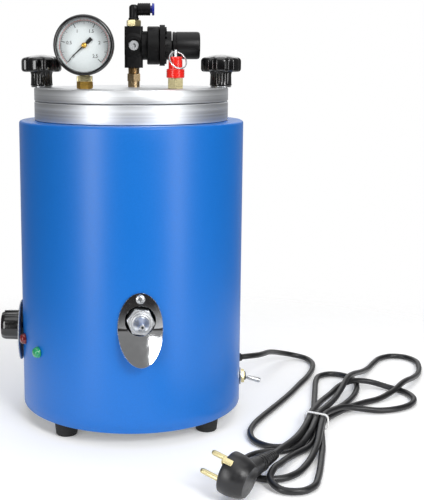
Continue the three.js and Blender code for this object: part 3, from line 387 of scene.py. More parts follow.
def grain(tree, size, detail=3.0, stretch=(1, 1, 1), place=(0, 0, 0)):
    """Noise with features `size` millimetres across."""
    coords = add(tree, "ShaderNodeTexCoord")
    mapping = add(
        tree, "ShaderNodeMapping", {"Vector": coords.outputs["Object"], "Location": place, "Scale": stretch}
    )
    noise = add(
        tree, "ShaderNodeTexNoise",
        {"Vector": mapping.outputs["Vector"], "Scale": 1 / (size * MM), "Detail": detail}
    )
    return noise.outputs["Fac"]


def lathe_lines(tree, centre, pitch, axis="Z"):
    """Rings and grooves left by a lathe, `pitch` millimetres apart, about an axis through centre."""
    coords = add(tree, "ShaderNodeTexCoord")
    mapping = add(
        tree, "ShaderNodeMapping", {"Vector": coords.outputs["Object"], "Location": [-c for c in centre]}
    )
    split = add(tree, "ShaderNodeSeparateXYZ", {"Vector": mapping.outputs["Vector"]})
    across = [split.outputs[name] for name in "XYZ" if name != axis]
    flat = add(tree, "ShaderNodeCombineXYZ", {"X": across[0], "Y": across[1]})
    radius = add(tree, "ShaderNodeVectorMath", {0: flat.outputs["Vector"]}, operation="LENGTH")
    line = add(tree, "ShaderNodeCombineXYZ", {"X": radius.outputs["Value"], "Y": split.outputs[axis]})
    noise = add(
        tree, "ShaderNodeTexNoise",
        {"Vector": line.outputs["Vector"], "Scale": 1 / (pitch * MM), "Detail": 4.0}
    )
    return noise.outputs["Fac"]


def centre_of(node):
    low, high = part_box(node)
    return (low + high) / 2


FINISHES = {}


def finish(maker, *args):
    """The material that a maker gives, made once."""
    key = (maker.__name__, *args)
    if key not in FINISHES:
        FINISHES[key] = maker(*args)
    return FINISHES[key]


def powder_coat():
    # Epoxy-polyester powder baked on sheet steel: an even satin gloss broken by fine orange peel
    # about 1.5 mm across, which is drawn a little deeper than it is so that it shows.
    made, tree, shader = shaded(
        "powder_coated_steel", IOR=1.5, Coat_Weight=0.12, Coat_Roughness=0.3, Specular_IOR_Level=0.42
    )
    patterned(tree, shader, colours().blue, grain(tree, 1.5), 0.035, (0.34, 0.44), 0.03, 0.5)
    return made


def turned_aluminium(node):
    # Cast aluminium faced on a lathe: fine rings on the faces and lines round the rim.
    made, tree, shader = shaded("turned_aluminium_" + node, Metallic=1.0)
    patterned(
        tree, shader, colours().aluminium, lathe_lines(tree, centre_of(node), 1.6), 0.12, (0.44, 0.56), 0.02,
        0.6
    )
    return made


def machined_brass(node, tone="brass"):
    # Free-cutting brass turned and drawn to a hexagon; the pale tone has a thin nickel wash.
    made, tree, shader = shaded(tone + "_" + node, Metallic=1.0)
    colour = getattr(colours(), tone)
    patterned(tree, shader, colour, lathe_lines(tree, centre_of(node), 0.5), 0.08, (0.24, 0.36), 0.01, 0.4)
    return made


def bright_steel(node, axis="Z", gloss=(0.24, 0.36)):
    # Zinc-plated steel off a lathe: bright, with faint lines round it.
    made, tree, shader = shaded("bright_steel_" + node, Metallic=1.0)
    patterned(
        tree, shader, colours().steel, lathe_lines(tree, centre_of(node), 0.6, axis), 0.07, gloss, 0.01, 0.4
    )
    return made


def chrome_plate():
    # Decorative chromium over nickel: a clean mirror with the faintest buffing haze.
    made, tree, shader = shaded("chrome_plate", Metallic=1.0)
    patterned(tree, shader, colours().chrome, grain(tree, 6, 5.0), 0.02, (0.04, 0.1), 0.0)
    return made


def phenolic():
    # Phenolic moulding polished by its mould: deep black, glossy, with a faint flow.
    made, tree, shader = shaded("black_phenolic", IOR=1.55, Coat_Weight=0.3, Coat_Roughness=0.06)
    patterned(tree, shader, colours().knob_black, grain(tree, 9), 0.12, (0.16, 0.22), 0.01, 0.12)
    return made


def die_cast_paint():
    # Zinc die casting under matt black paint: a fine even grit about 0.6 mm across.
    made, tree, shader = shaded("black_painted_die_casting", IOR=1.5, Specular_IOR_Level=0.22)
    patterned(tree, shader, colours().regulator_black, grain(tree, 0.6, 2.0), 0.2, (0.42, 0.56), 0.03, 0.7)
    return made


def moulded_nylon():
    # Glass-filled nylon: dull black with a fine spark-eroded texture.
    made, tree, shader = shaded("black_nylon", IOR=1.53, Specular_IOR_Level=0.25)
    patterned(tree, shader, colours().regulator_black, grain(tree, 0.8), 0.2, (0.34, 0.46), 0.02, 0.5)
    return made


def flexible_pvc():
    # Plasticised PVC: a satin sheath with shallow unevenness from the extruder.
    made, tree, shader = shaded("black_flexible_pvc", IOR=1.53)
    patterned(tree, shader, colours().cord, grain(tree, 3.5), 0.2, (0.3, 0.42), 0.05, 0.35)
    return made


def foot_rubber():
    # Moulded nitrile rubber: matt black, slightly dusty.
    made, tree, shader = shaded("black_rubber", IOR=1.52)
    patterned(tree, shader, linear("#141414"), grain(tree, 1.2, 5.0), 0.35, (0.65, 0.85), 0.04, 0.6)
    return made


def red_rubber():
    # Silicone rubber ring: soft matt red-brown.
    made, tree, shader = shaded("red_silicone_rubber", IOR=1.45)
    patterned(tree, shader, linear("#9C3A2A"), grain(tree, 2.0), 0.12, (0.5, 0.65), 0.02, 0.5)
    return made


def gauge_lacquer():
    # Black stove lacquer on a pressed steel case: hard gloss over a slightly wavy sheet.
    made, tree, shader = shaded("black_lacquered_steel", IOR=1.5, Coat_Weight=0.4, Coat_Roughness=0.05)
    patterned(tree, shader, linear("#08080A"), grain(tree, 12), 0.12, (0.12, 0.17), 0.01, 0.15)
    return made


def printed_dial():
    # Screen-printed aluminium sheet: flat white with the least tooth.
    made, tree, shader = shaded("white_printed_dial", IOR=1.5)
    patterned(tree, shader, colours().dial, grain(tree, 0.7), 0.015, (0.5, 0.6), 0.005, 0.4)
    return made


def ink(name, hex_code):
    # Printing ink with a soft edge of gloss.
    made, tree, shader = shaded(name, IOR=1.5)
    patterned(tree, shader, linear(hex_code), grain(tree, 0.5), 0.12, (0.4, 0.5), 0.0)
    return made


def clear_glass():
    # Window glass 2 mm thick, cut round.
    made, tree, shader = shaded("clear_glass", IOR=1.45, Transmission_Weight=1.0, Alpha=0.1)
    patterned(tree, shader, linear("#FAFCFC"), grain(tree, 20), 0.01, (0.0, 0.02), 0.0)
    return made


def lens_plastic(name, colour):
    # Dyed acrylic lens: glossy, with light going a little way in.
    made, tree, shader = shaded(
        name, IOR=1.49, Transmission_Weight=0.25, Coat_Weight=0.6, Coat_Roughness=0.04,
        Subsurface_Weight=0.3, Subsurface_Scale=0.003,
    )
    patterned(tree, shader, colour, grain(tree, 3.0), 0.15, (0.08, 0.16), 0.0)
    return made


def dyed_plastic(name, colour):
    # Moulded or anodised cap: even colour, soft gloss, fine lines from tooling.
    made, tree, shader = shaded(name, IOR=1.5, Coat_Weight=0.3, Coat_Roughness=0.15)
    patterned(tree, shader, colour, grain(tree, 1.5), 0.08, (0.24, 0.34), 0.02, 0.4)
    return made


def needled_felt():
    # Needled glass felt: pale, rough, with fibres drawn coarser than they are, about 2 mm.
    made, tree, shader = shaded("needled_felt", IOR=1.45, Sheen_Weight=0.4)
    patterned(
        tree, shader, linear("#D9CFAE"), grain(tree, 2.0, 8.0, (1, 1, 0.3)), 0.18, (0.85, 1.0), 0.4, 0.8
    )
    return made


def sheet_zinc():
    # Zinc-coated steel sheet: dull, with cloudy spangle about 12 mm across.
    made, tree, shader = shaded("zinc_coated_sheet", Metallic=1.0)
    patterned(tree, shader, linear("#B4B7BA"), grain(tree, 12, 2.0), 0.14, (0.35, 0.5), 0.01, 0.5)
    return made


# Pieces ------------------------------------------------------------------


class PressurePotOperator:
    bl_options = {"REGISTER", "UNDO"}

    def execute(self, context):
        self.build()
        return {"FINISHED"}


class POT_OT_camera_and_stage(PressurePotOperator, bpy.types.Operator):
    """Camera, soft studio light and a pale floor."""

    bl_idname = "pressure_pot.stage"
    bl_label = "Camera and stage"

    def build(self):
        scene = bpy.context.scene
        scene.view_settings.view_transform = "Standard"
        data = bpy.data.cameras.new("Camera")
        data.lens, data.sensor_width, data.sensor_fit = 70.36, 36, "AUTO"
        data.shift_x, data.shift_y = 0.1347, -0.07
        data.clip_end = 50
        camera = bpy.data.objects.new("Camera", data)
        camera.location = TO_FRAME @ Vector((13.45, -989.3, 362.7))
        camera.rotation_euler = (math.radians(90 - 9.05), 0, 0)
        scene.collection.objects.link(camera)
        scene.camera = camera

        world = bpy.data.worlds.new("Studio")
        world.use_nodes = True
        scene.world = world
        tree = world.node_tree
        tree.nodes.clear()
        coords = add(tree, "ShaderNodeTexCoord")
        split = add(tree, "ShaderNodeSeparateXYZ", {"Vector": coords.outputs["Generated"]})
        # A white wall behind, darker walls beside, a greyer ceiling, and a dark strip low down in
        # front for metal to reflect.
        height = self.ramp(tree, split.outputs["Z"], ((0.0, 0.8), (0.35, 1.0), (1.0, 0.6)))
        aside = add(tree, "ShaderNodeMath", {0: split.outputs["X"]}, operation="ABSOLUTE")
        walls = self.ramp(tree, aside.outputs["Value"], ((0.0, 1.0), (0.42, 1.0), (0.75, 0.3), (1.0, 0.3)))
        height = add(
            tree, "ShaderNodeVectorMath", {0: height, 1: walls}, operation="MULTIPLY"
        ).outputs["Vector"]
        depth = add(
            tree, "ShaderNodeMapRange", {"Value": split.outputs["Y"], "From Min": -1.0, "From Max": 1.0}
        )
        front = self.ramp(tree, depth.outputs["Result"], ((0.0, 1.0), (0.18, 1.0), (0.3, 0.0)))
        level = add(
            tree, "ShaderNodeMapRange", {"Value": split.outputs["Z"], "From Min": -1.0, "From Max": 1.0}
        )
        band = self.ramp(
            tree, level.outputs["Result"],
            ((0.2, 0.0), (0.3, 1.0), (0.52, 1.0), (0.64, 0.6), (0.9, 0.65), (1.0, 0.0))
        )
        dark = add(tree, "ShaderNodeMath", {0: front, 1: band}, operation="MULTIPLY")
        both = add(
            tree, "ShaderNodeMix", {0: dark.outputs["Value"], 6: height, 7: (0.05, 0.045, 0.045, 1)},
            data_type="RGBA"
        )
        room = add(tree, "ShaderNodeBackground", {"Color": both.outputs[2], "Strength": ROOM_LIGHT})
        seen = add(tree, "ShaderNodeBackground", {"Color": (1, 1, 1, 1), "Strength": 1.0})
        path = add(tree, "ShaderNodeLightPath")
        mix = add(
            tree,
            "ShaderNodeMixShader",
            {0: path.outputs["Is Camera Ray"], 1: room.outputs["Background"], 2: seen.outputs["Background"]},
        )
        add(tree, "ShaderNodeOutputWorld", {"Surface": mix.outputs["Shader"]})

        self.softbox("Left softbox", (-0.97, -1.27, 0.4), (0, 0, 0.3), (0.4, 1.3), 12)
        self.softbox("Front softbox", (0.62, -1.25, 1.0), (0, 0, 0.2), (0.42, 0.55), 12)
        self.softbox("Right softbox", (1.15, -1.11, 0.4), (0, 0, 0.3), (0.4, 1.3), 9)
        self.softbox("Top softbox", (0.1, -0.1, 1.8), (0, 0, 0.2), (1.8, 1.6), 12)
        self.softbox("Back softbox", (0.2, 1.7, 1.1), (0, 0, 0.2), (1.6, 1.0), 5)

        bm = bmesh.new()
        bmesh.ops.create_grid(bm, x_segments=8, y_segments=8, size=6)
        mesh = bpy.data.meshes.new("Floor")
        bm.to_mesh(mesh)
        bm.free()
        # Matt white paper, which passes into the white of the room a little way out.
        paper, tree, shader = shaded(
            "white_paper", Specular_IOR_Level=0.1, Emission_Color=(1, 1, 1, 1), Emission_Strength=0.15
        )
        patterned(tree, shader, linear("#FAFAFA"), grain(tree, 40), 0.004, (0.9, 1.0), 0.0)
        coords = add(tree, "ShaderNodeTexCoord")
        away = add(
            tree, "ShaderNodeVectorMath", {0: coords.outputs["Object"], 1: (0.08, -0.02, 0)},
            operation="DISTANCE"
        )
        shown = add(
            tree, "ShaderNodeMapRange",
            {"Value": away.outputs["Value"], "From Min": 0.3, "From Max": 0.62, "To Min": 1.0, "To Max": 0.0},
            interpolation_type="SMOOTHSTEP",
        )
        tree.links.new(shown.outputs["Result"], shader.inputs["Alpha"])
        mesh.materials.append(paper)
        floor = bpy.data.objects.new("Floor", mesh)
        floor.location.z = -0.0004
        scene.collection.objects.link(floor)

    def ramp(self, tree, value, stops):
        """Grey levels along a value from 0 to 1."""
        made = add(tree, "ShaderNodeValToRGB", {"Fac": value})
        for index, (place, grey) in enumerate(stops):
            if index > 1:
                made.color_ramp.elements.new(1.0)
        for element, (place, grey) in zip(made.color_ramp.elements, stops):
            element.position, element.color = place, (grey, grey, grey, 1)
        return made.outputs["Color"]

    def softbox(self, name, place, aim, size, power):
        data = bpy.data.lights.new(name, "AREA")
        data.shape, data.size, data.size_y, data.energy = "RECTANGLE", size[0], size[1], power
        lamp = bpy.data.objects.new(name, data)
        lamp.location = place
        lamp.rotation_euler = (Vector(aim) - Vector(place)).to_track_quat("-Z", "Y").to_euler()
        bpy.context.scene.collection.objects.link(lamp)


# Each row is one stretch of the lead, in millimetres from the pot's axis: out of the gland, down
# to the floor, five loops through the tie, and back to the plug.
CORD_ROUTE = [
    (120.3, 58.7, 36), (131, 64, 35.5), (141, 74, 33.5), (150, 91, 30), (158, 111, 25.5), (167, 131, 19.5),
    (179, 150, 12.5), (193, 161, 7), (208, 158, 4), (214, 142, 3.4), (211, 119, 3.4), (201, 91, 3.4),
    (186, 60, 3.4), (172, 31, 3.4), (158, 5, 3.4), (145, -18, 3.4), (132, -41, 3.4), (121, -64, 3.4),
    (116, -85, 3.4), (119, -104, 3.4), (132, -117, 3.4), (149, -116, 3.4), (162, -102, 3.4), (169, -87, 4),

    (173.8, -71.4, 4.8), (181, -48.4, 4.8), (187, -28, 3.8), (192, -4, 3.4), (197, 22, 3.4), (202, 48, 3.4),
    (207, 72, 3.4), (214, 90, 3.4), (228, 98, 3.4), (243, 92, 3.4), (251, 75, 3.4), (249, 52, 3.4),
    (240, 25, 3.4), (224, -3, 3.4), (203.5, -28, 3.8), (187.6, -50.6, 4.8), (180.4, -73.4, 4.8),

    (175, -99, 3.8), (166, -119, 3.4), (153, -134, 3.6), (143, -149, 5.5), (134.5, -166, 8), (126, -182, 9.9),
    (121, -198, 7), (129, -211, 3.9), (145, -213, 3.4), (158, -203, 3.4), (165, -184, 3.4), (170, -165, 3.4),
    (175, -143, 3.4), (180, -120, 3.4), (183.5, -98, 3.8), (187, -75.6, 4.8), (194.2, -52.8, 4.8),

    (211.5, -29, 3.8), (228, -11, 3.4), (245, 2, 3.4), (264, 14, 3.4), (283, 30, 6.2), (300, 50, 9.9),
    (317, 75, 6.4), (330, 100, 3.4), (338, 125, 3.4), (340, 147, 3.4), (331, 163, 3.4), (315, 167, 3.4),
    (299, 157, 3.4), (288, 140, 3.4), (276, 118, 3.4), (263, 94, 7.3), (249, 69, 13.3), (237, 46, 16.4),
    (226, 22, 12.8), (214, -3, 10.2), (200.5, -28, 10.4), (187.6, -50.6, 11.2), (180.4, -73.4, 11.2),

    (171.5, -98, 9.6), (159, -117, 5), (144, -126, 3.4), (128, -129, 3.4), (113, -136, 3.4), (103, -149, 3.4),
    (100, -165, 3.4), (105, -180, 3.4), (118, -189, 3.4), (134, -187, 3.4), (148, -176, 3.4),
    (158, -160, 3.6),
    (167, -141, 4.8), (175, -120, 7.4), (181, -98, 9.8), (187, -75.6, 11.2), (194.2, -52.8, 11.2),

    (206, -37, 10.2), (220, -25, 8.8), (237, -20, 5), (256, -21, 3.4), (276, -16, 3.4), (293, -4, 3.4),
    (302, 14, 3.4), (299, 34, 3.4), (284, 50, 3.9), (265, 58, 7.4), (247, 55, 9.9), (229, 41, 9.7),
    (213, 18, 7.4), (200, -5, 8.4), (190, -27, 10), (181, -48.4, 11.2), (173.8, -71.4, 11.2),

    (165.5, -92, 10.2), (156.5, -111, 10.2), (147, -127, 10.6), (138.5, -140, 11.2), (130.6, -153.2, 11.4),
]


def smooth_route(points, steps=8):
    """Centripetal Catmull-Rom through the points."""
    points = [Vector(p) for p in points]
    points = [2 * points[0] - points[1], *points, 2 * points[-1] - points[-2]]
    made = []
    for p0, p1, p2, p3 in zip(points, points[1:], points[2:], points[3:]):
        d0, d1, d2 = ((b - a).length ** 0.5 for a, b in ((p0, p1), (p1, p2), (p2, p3)))
        m1 = ((p1 - p0) / d0 - (p2 - p0) / (d0 + d1) + (p2 - p1) / d1) * d1
        m2 = ((p2 - p1) / d1 - (p3 - p1) / (d1 + d2) + (p3 - p2) / d2) * d1
        for step in range(steps):
            t = step / steps
            made.append(
                (2 * t**3 - 3 * t**2 + 1) * p1
                + (t**3 - 2 * t**2 + t) * m1
                + (3 * t**2 - 2 * t**3) * p2
                + (t**3 - t**2) * m2
            )
    made.append(points[-2])
    return made


def plug_place():
    aim = Vector((-0.82, 0.512, 0.24)).normalized()
    leaving = Vector((0.5, 0.86, -0.12))
    leaving = (leaving - aim * aim.dot(leaving)).normalized()
    across = leaving.cross(aim)
    turn = Matrix((across, leaving, aim)).transposed().to_4x4()
    return placed(81.6, -217, 23.5) @ turn


class POT_OT_mains_lead(PressurePotOperator, bpy.types.Operator):
    """The cord, its tie, and the angled plug with its sleeve."""

    bl_idname = "pressure_pot.mains_lead"
    bl_label = "Mains lead"

    def build(self):
        pvc = finish(flexible_pvc)
        place = plug_place()
        back = placed(0, 0, -11) @ Matrix.Rotation(-math.pi / 2, 4, "X")
        body = turned(
            [
                (0, 0), (16.2, 0), (16.6, -0.5), (17.3, -0.5), (18.2, -1.4), (18.5, -3), (18.5, -9),
                (17.8, -12.5), (16.6, -17), (15.2, -21), (13.8, -22.6), (11.5, -23), (0, -23),
            ]
        )
        neck = moved(
            turned([(0, 3), (11.2, 3), (10.9, 12), (10.2, 17), (9.2, 23), (8.6, 30), (8.4, 36), (0, 36)], 64),
            back
        )
        shell = finished("plug_body", combined(body, "UNION", neck), pvc, "housing", place, 0.5)
        ribs = [(0, 36.3), (7.9, 36.3)]
        for count in range(9):
            low = 38 + count * 4.4
            size = 7.9 - 0.36 * count if count > 2 else 7.9
            ribs += [(size, low), (size, low + 2.2), (size - 1.1, low + 2.6), (size - 1.1, low + 4.0)]
        ribs += [(4.4, 79.8), (0, 79.8)]
        sleeve = finished("plug_sleeve", turned(ribs, 64), pvc, "housing", place @ back, 0.2)
        turn = placed(turn=45)
        metal = finish(machined_brass, "plug_pin_left", "pale_brass")
        for side, word in ((-1, "left"), (1, "right")):
            pin = turned([(0, 0.3), (2.4, 0.3), (2.4, 17), (2.2, 18.2), (1.6, 19), (0, 19.3)], 48)
            at = place @ turn @ placed(side * 9.5, 0, 0)
            finished("plug_pin_" + word, pin, metal, "housing", at)
        outside = 18.8
        strips = [block((-2.6, -outside - 1, 0.3), (2.6, outside + 1, 1.3), 0.3)]
        for side in (-1, 1):
            near, far = sorted((side * outside, side * (outside + 1)))
            strips.append(block((-2.6, near, -8), (2.6, far, 1.3), 0.3))
        earth = finished("earth_strip", joined(*strips), metal, "housing", place @ turn)
        strap = self.tie()

        line = smooth_route(CORD_ROUTE)
        curve = bpy.data.curves.new("power_cord", "CURVE")
        curve.dimensions = "3D"
        curve.bevel_depth = sizes().cord_diameter / 2
        curve.bevel_resolution = 5
        curve.use_fill_caps = True
        spline = curve.splines.new("POLY")
        spline.points.add(len(line) - 1)
        placed_line = [TO_FRAME @ point for point in line]
        for point, where in zip(spline.points, placed_line):
            point.co = (*where, 1)
        spline.use_smooth = True
        curve.materials.append(pvc)
        cord = bpy.data.objects.new("power_cord", curve)
        bpy.context.scene.collection.objects.link(cord)
        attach(cord, "housing")
        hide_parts("power_cord")

    def tie(self):
        """A flat plastic band drawn round the strands."""
        outside = block((-12.7, -1.2, 0.2), (12.7, 1.2, 16.3), 4.4, 1, 6)
        inside = block((-11.8, -3, 1.1), (11.8, 3, 15.4), 3.6, 1, 6)
        return finished(
            "cord_tie", cut(outside, inside), finish(dyed_plastic, "white_tie_plastic", colours().tie),
            "housing", placed(184, -62, 0, -30)
        )


class POT_OT_shell(PressurePotOperator, bpy.types.Operator):
    """The blue shell, its base plate and the four feet."""

    bl_idname = "pressure_pot.shell"
    bl_label = "Shell and feet"

    def build(self):
        outside = sizes().shell_radius / MM
        inside = outside - SHELL_WALL
        bend = [
            (
                outside - SHELL_EDGE + SHELL_EDGE * math.cos(a),
                SHELL_TOP - SHELL_EDGE + SHELL_EDGE * math.sin(a)
            )
            for a in map(math.radians, range(0, 91, 15))
        ]
        low = SHELL_FOOT
        # Rings up the wall keep the shading even round the holes.
        wall = [*range(26, 60, 4), *range(60, 110, 3), *range(110, 142, 2), *range(142, 298, 12)]
        profile = [
            (inside, low), (outside - 0.3, low), (outside, low + 0.3), *((outside, z) for z in wall), *bend
        ]
        profile += [
            (82, SHELL_TOP), (82, SHELL_TOP - SHELL_WALL), (inside, SHELL_TOP - SHELL_WALL), (inside, low)
        ]
        holes = [
            moved(rod(15, 100, 122, 64), around(FRONT_TURN, NOZZLE_HEIGHT)),
            moved(rod(5, 100, 122), around(-90, THERMOSTAT_HEIGHT)),
            *(moved(rod(4.8, 100, 122), around(angle, height)) for _, angle, height, _ in LAMPS),
            moved(rod(4.8, 100, 122), around(90, SWITCH_HEIGHT)),
            moved(rod(6.3, 100, 122), around(GLAND_TURN, GLAND_HEIGHT)),
        ]
        shell = cut(turned(profile, 192), *holes)
        finished("outer_shell", shell, finish(powder_coat), "housing", sharp=50)

        plate = turned([(0, 14), (110, 14), (110.4, 14.4), (110.4, 15.6), (110, 16), (0, 16)], 192)
        finished("bottom_plate", plate, finish(sheet_zinc), "housing")

        places = ("foot_front_right", "foot_rear_right", "foot_rear_left", "foot_front_left")
        for index, name in enumerate(places):
            foot = turned(
                [
                    (0, 4), (3.6, 4), (4, 3.6), (4, 0.5), (4.5, 0), (9.7, 0), (10.5, 0.9), (11.7, 11.5),
                    (12, 12.4), (12, 13.7), (0, 13.7),
                ],
                64,
            )
            turn = 45 + FRONT_TURN + 90 * index
            place = placed(turn=turn) @ Matrix.Translation((0, -(outside - 14.9), 0))
            finished(name, foot, finish(foot_rubber), "housing", place)


class POT_OT_tank(PressurePotOperator, bpy.types.Operator):
    """The aluminium tank with its flange, the seal, and what heats it."""

    bl_idname = "pressure_pot.tank"
    bl_label = "Tank"

    def build(self):
        rim = sizes().lid_radius / MM
        top = FLANGE_TOP
        profile = [
            (0, 100.4), (77, 100.4), (79, 102.4), (79, 303), (rim - 0.5, 303), (rim, 303.5), (rim, top - 0.6),
            (rim - 0.6, top), (84.3, top), (84.3, top - 2.5), (79.7, top - 2.5), (79.7, top), (75.5, top),
            (75, top - 0.5), (75, 109.4), (71, 105.4), (0, 105.4),
        ]
        holes = [
            moved(rod(4.3, 307.4, 330), placed(side * STUD_REACH, 0, 0)) for side in (-1, 1)
        ]
        outlet = moved(rod(7.3, 60, 90), around(FRONT_TURN, NOZZLE_HEIGHT))
        finished(
            "tank", cut(turned(profile, 192), outlet, *holes), finish(turned_aluminium, "tank"), "housing",
            sharp=28
        )
        ring = torus(82, 1.28, 128, 16)
        finished("lid_gasket", moved(ring, placed(0, 0, 320.5)), finish(red_rubber), "housing")
        jacket = turned(
            [(80, 146.5), (93.6, 146), (94, 147), (94, 296), (93.4, 297.2), (80, 297.2), (80, 146.5)]
        )
        finished("insulation_jacket", jacket, finish(needled_felt), "housing", rounding=1)
        heater = turned([(0, 91.1), (67, 91.1), (68, 92.1), (68, 100.1), (0, 100.1)])
        finished("heating_plate", heater, finish(turned_aluminium, "heating_plate"), "housing")
        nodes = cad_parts
        hidden = {
            "thermostat_bulb": finish(machined_brass, "thermostat_bulb"),
            "thermostat_body": finish(moulded_nylon),
            "switch_body": finish(moulded_nylon),
            "nozzle_spring": finish(bright_steel, "nozzle_spring"),
            "terminal_block": finish(dyed_plastic, "white_nylon", linear("#E8E6DE")),
            "nozzle_block": finish(foot_rubber),
        }
        for name, material in hidden.items():
            nodes[name].data.materials.clear()
            nodes[name].data.materials.append(material)


class POT_OT_lid(PressurePotOperator, bpy.types.Operator):
    """The turned lid."""

    bl_idname = "pressure_pot.lid"
    bl_label = "Lid"

    def build(self):
        rim = sizes().lid_radius / MM
        low, top = LID_BOTTOM, LID_TOP
        profile = [
            (0, low), (rim - 0.8, low), (rim - 0.2, low + 0.3), (rim, low + 0.9), (rim, top - 1),
            (rim - 0.3, top - 0.3), (rim - 1, top), (0, top),
        ]
        places = [
            (*GAUGE_SPOT, 6.3), (*REGULATOR_SPOT, 6.3), (*VALVE_SPOT, 5.3), (-STUD_REACH, 0, 4.6),
            (STUD_REACH, 0, 4.6)
        ]
        holes = [moved(rod(r, low - 3, top + 3), placed(x, y, 0)) for x, y, r in places]
        finished(
            "lid", cut(turned(profile, 192), *holes), finish(turned_aluminium, "lid"), "lid",
            sharp=28
        )


class POT_OT_clamps(PressurePotOperator, bpy.types.Operator):
    """Two star knobs with their studs and washers."""

    bl_idname = "pressure_pot.clamps"
    bl_label = "Clamp knobs"

    def build(self):
        lobes = sizes().knob_lobes
        size = sizes().knob_radius / MM
        foot = LID_TOP + 1.8
        head = foot + 13.8

        def star(angle):
            return 0.13 * max(0.0, -math.cos(lobes * angle) - 0.1) / 0.9

        def flutes(angle):
            return 0.05 * (0.5 - 0.5 * math.cos(2 * lobes * angle)) ** 2

        for side, word in ((-1, "left"), (1, "right")):
            rings = [
                (size * 0.5, head, 0), (size * 0.86, head, 1), (size * 0.94, head + 0.5, 1),
                (size * 0.985, head + 1.6, 1), (size, head + 3, 1), (size, head + 10.6, 1),
                (size * 0.985, head + 12, 1), (size * 0.94, head + 13.2, 0.95),
                (size * 0.87, head + 14, 0.85),
                (size * 0.78, head + 14.5, 0.6), (size * 0.62, head + 15.3, 0.3),
                (size * 0.4, head + 16.2, 0.1),
                (size * 0.2, head + 16.7, 0), (size * 0.04, head + 16.85, 0),
            ]
            top = ringed(rings, star, lobes * 24)
            stem = ringed(
                [
                    (10.6, foot, 0), (11, foot + 0.5, 0), (11, foot + 1.6, 0), (10.9, foot + 2, 1),
                    (10.6, foot + 11, 1), (11.4, foot + 13.8, 1), (11.4, foot + 15, 1),
                ],
                flutes,
                lobes * 24,
            )
            bore = rod(4.3, foot - 2, foot + 12.1)
            knob = cut(combined(top, "UNION", stem), bore)
            place = placed(side * STUD_REACH, 0, 0)
            finished(
                "clamp_knob_" + word, knob, finish(phenolic), "clamp_" + word,
                place @ placed(turn=8 * side), sharp=38
            )
            thread = [(0, 309.4), (3.3, 309.4)]
            pitch, low = 1.25, 309.4
            while low < 346:
                thread += [(3.35, low + 0.15), (3.95, low + 0.55), (3.95, low + 0.75), (3.35, low + 1.15)]
                low += pitch
            thread += [(3.4, 348.2), (3.2, 348.4), (0, 348.4)]
            name = "clamp_stud_" + word
            finished(name, turned(thread, 48), finish(bright_steel, name), "clamp_" + word, place)
            name = "clamp_washer_" + word
            low = LID_TOP + 0.3
            washer = turned(
                [
                    (4.3, low), (10.2, low), (10.5, low + 0.3), (10.5, low + 0.9), (10.2, low + 1.2),
                    (4.3, low + 1.2), (4.3, low),
                ]
            )
            finished(name, washer, finish(bright_steel, name), name, place)


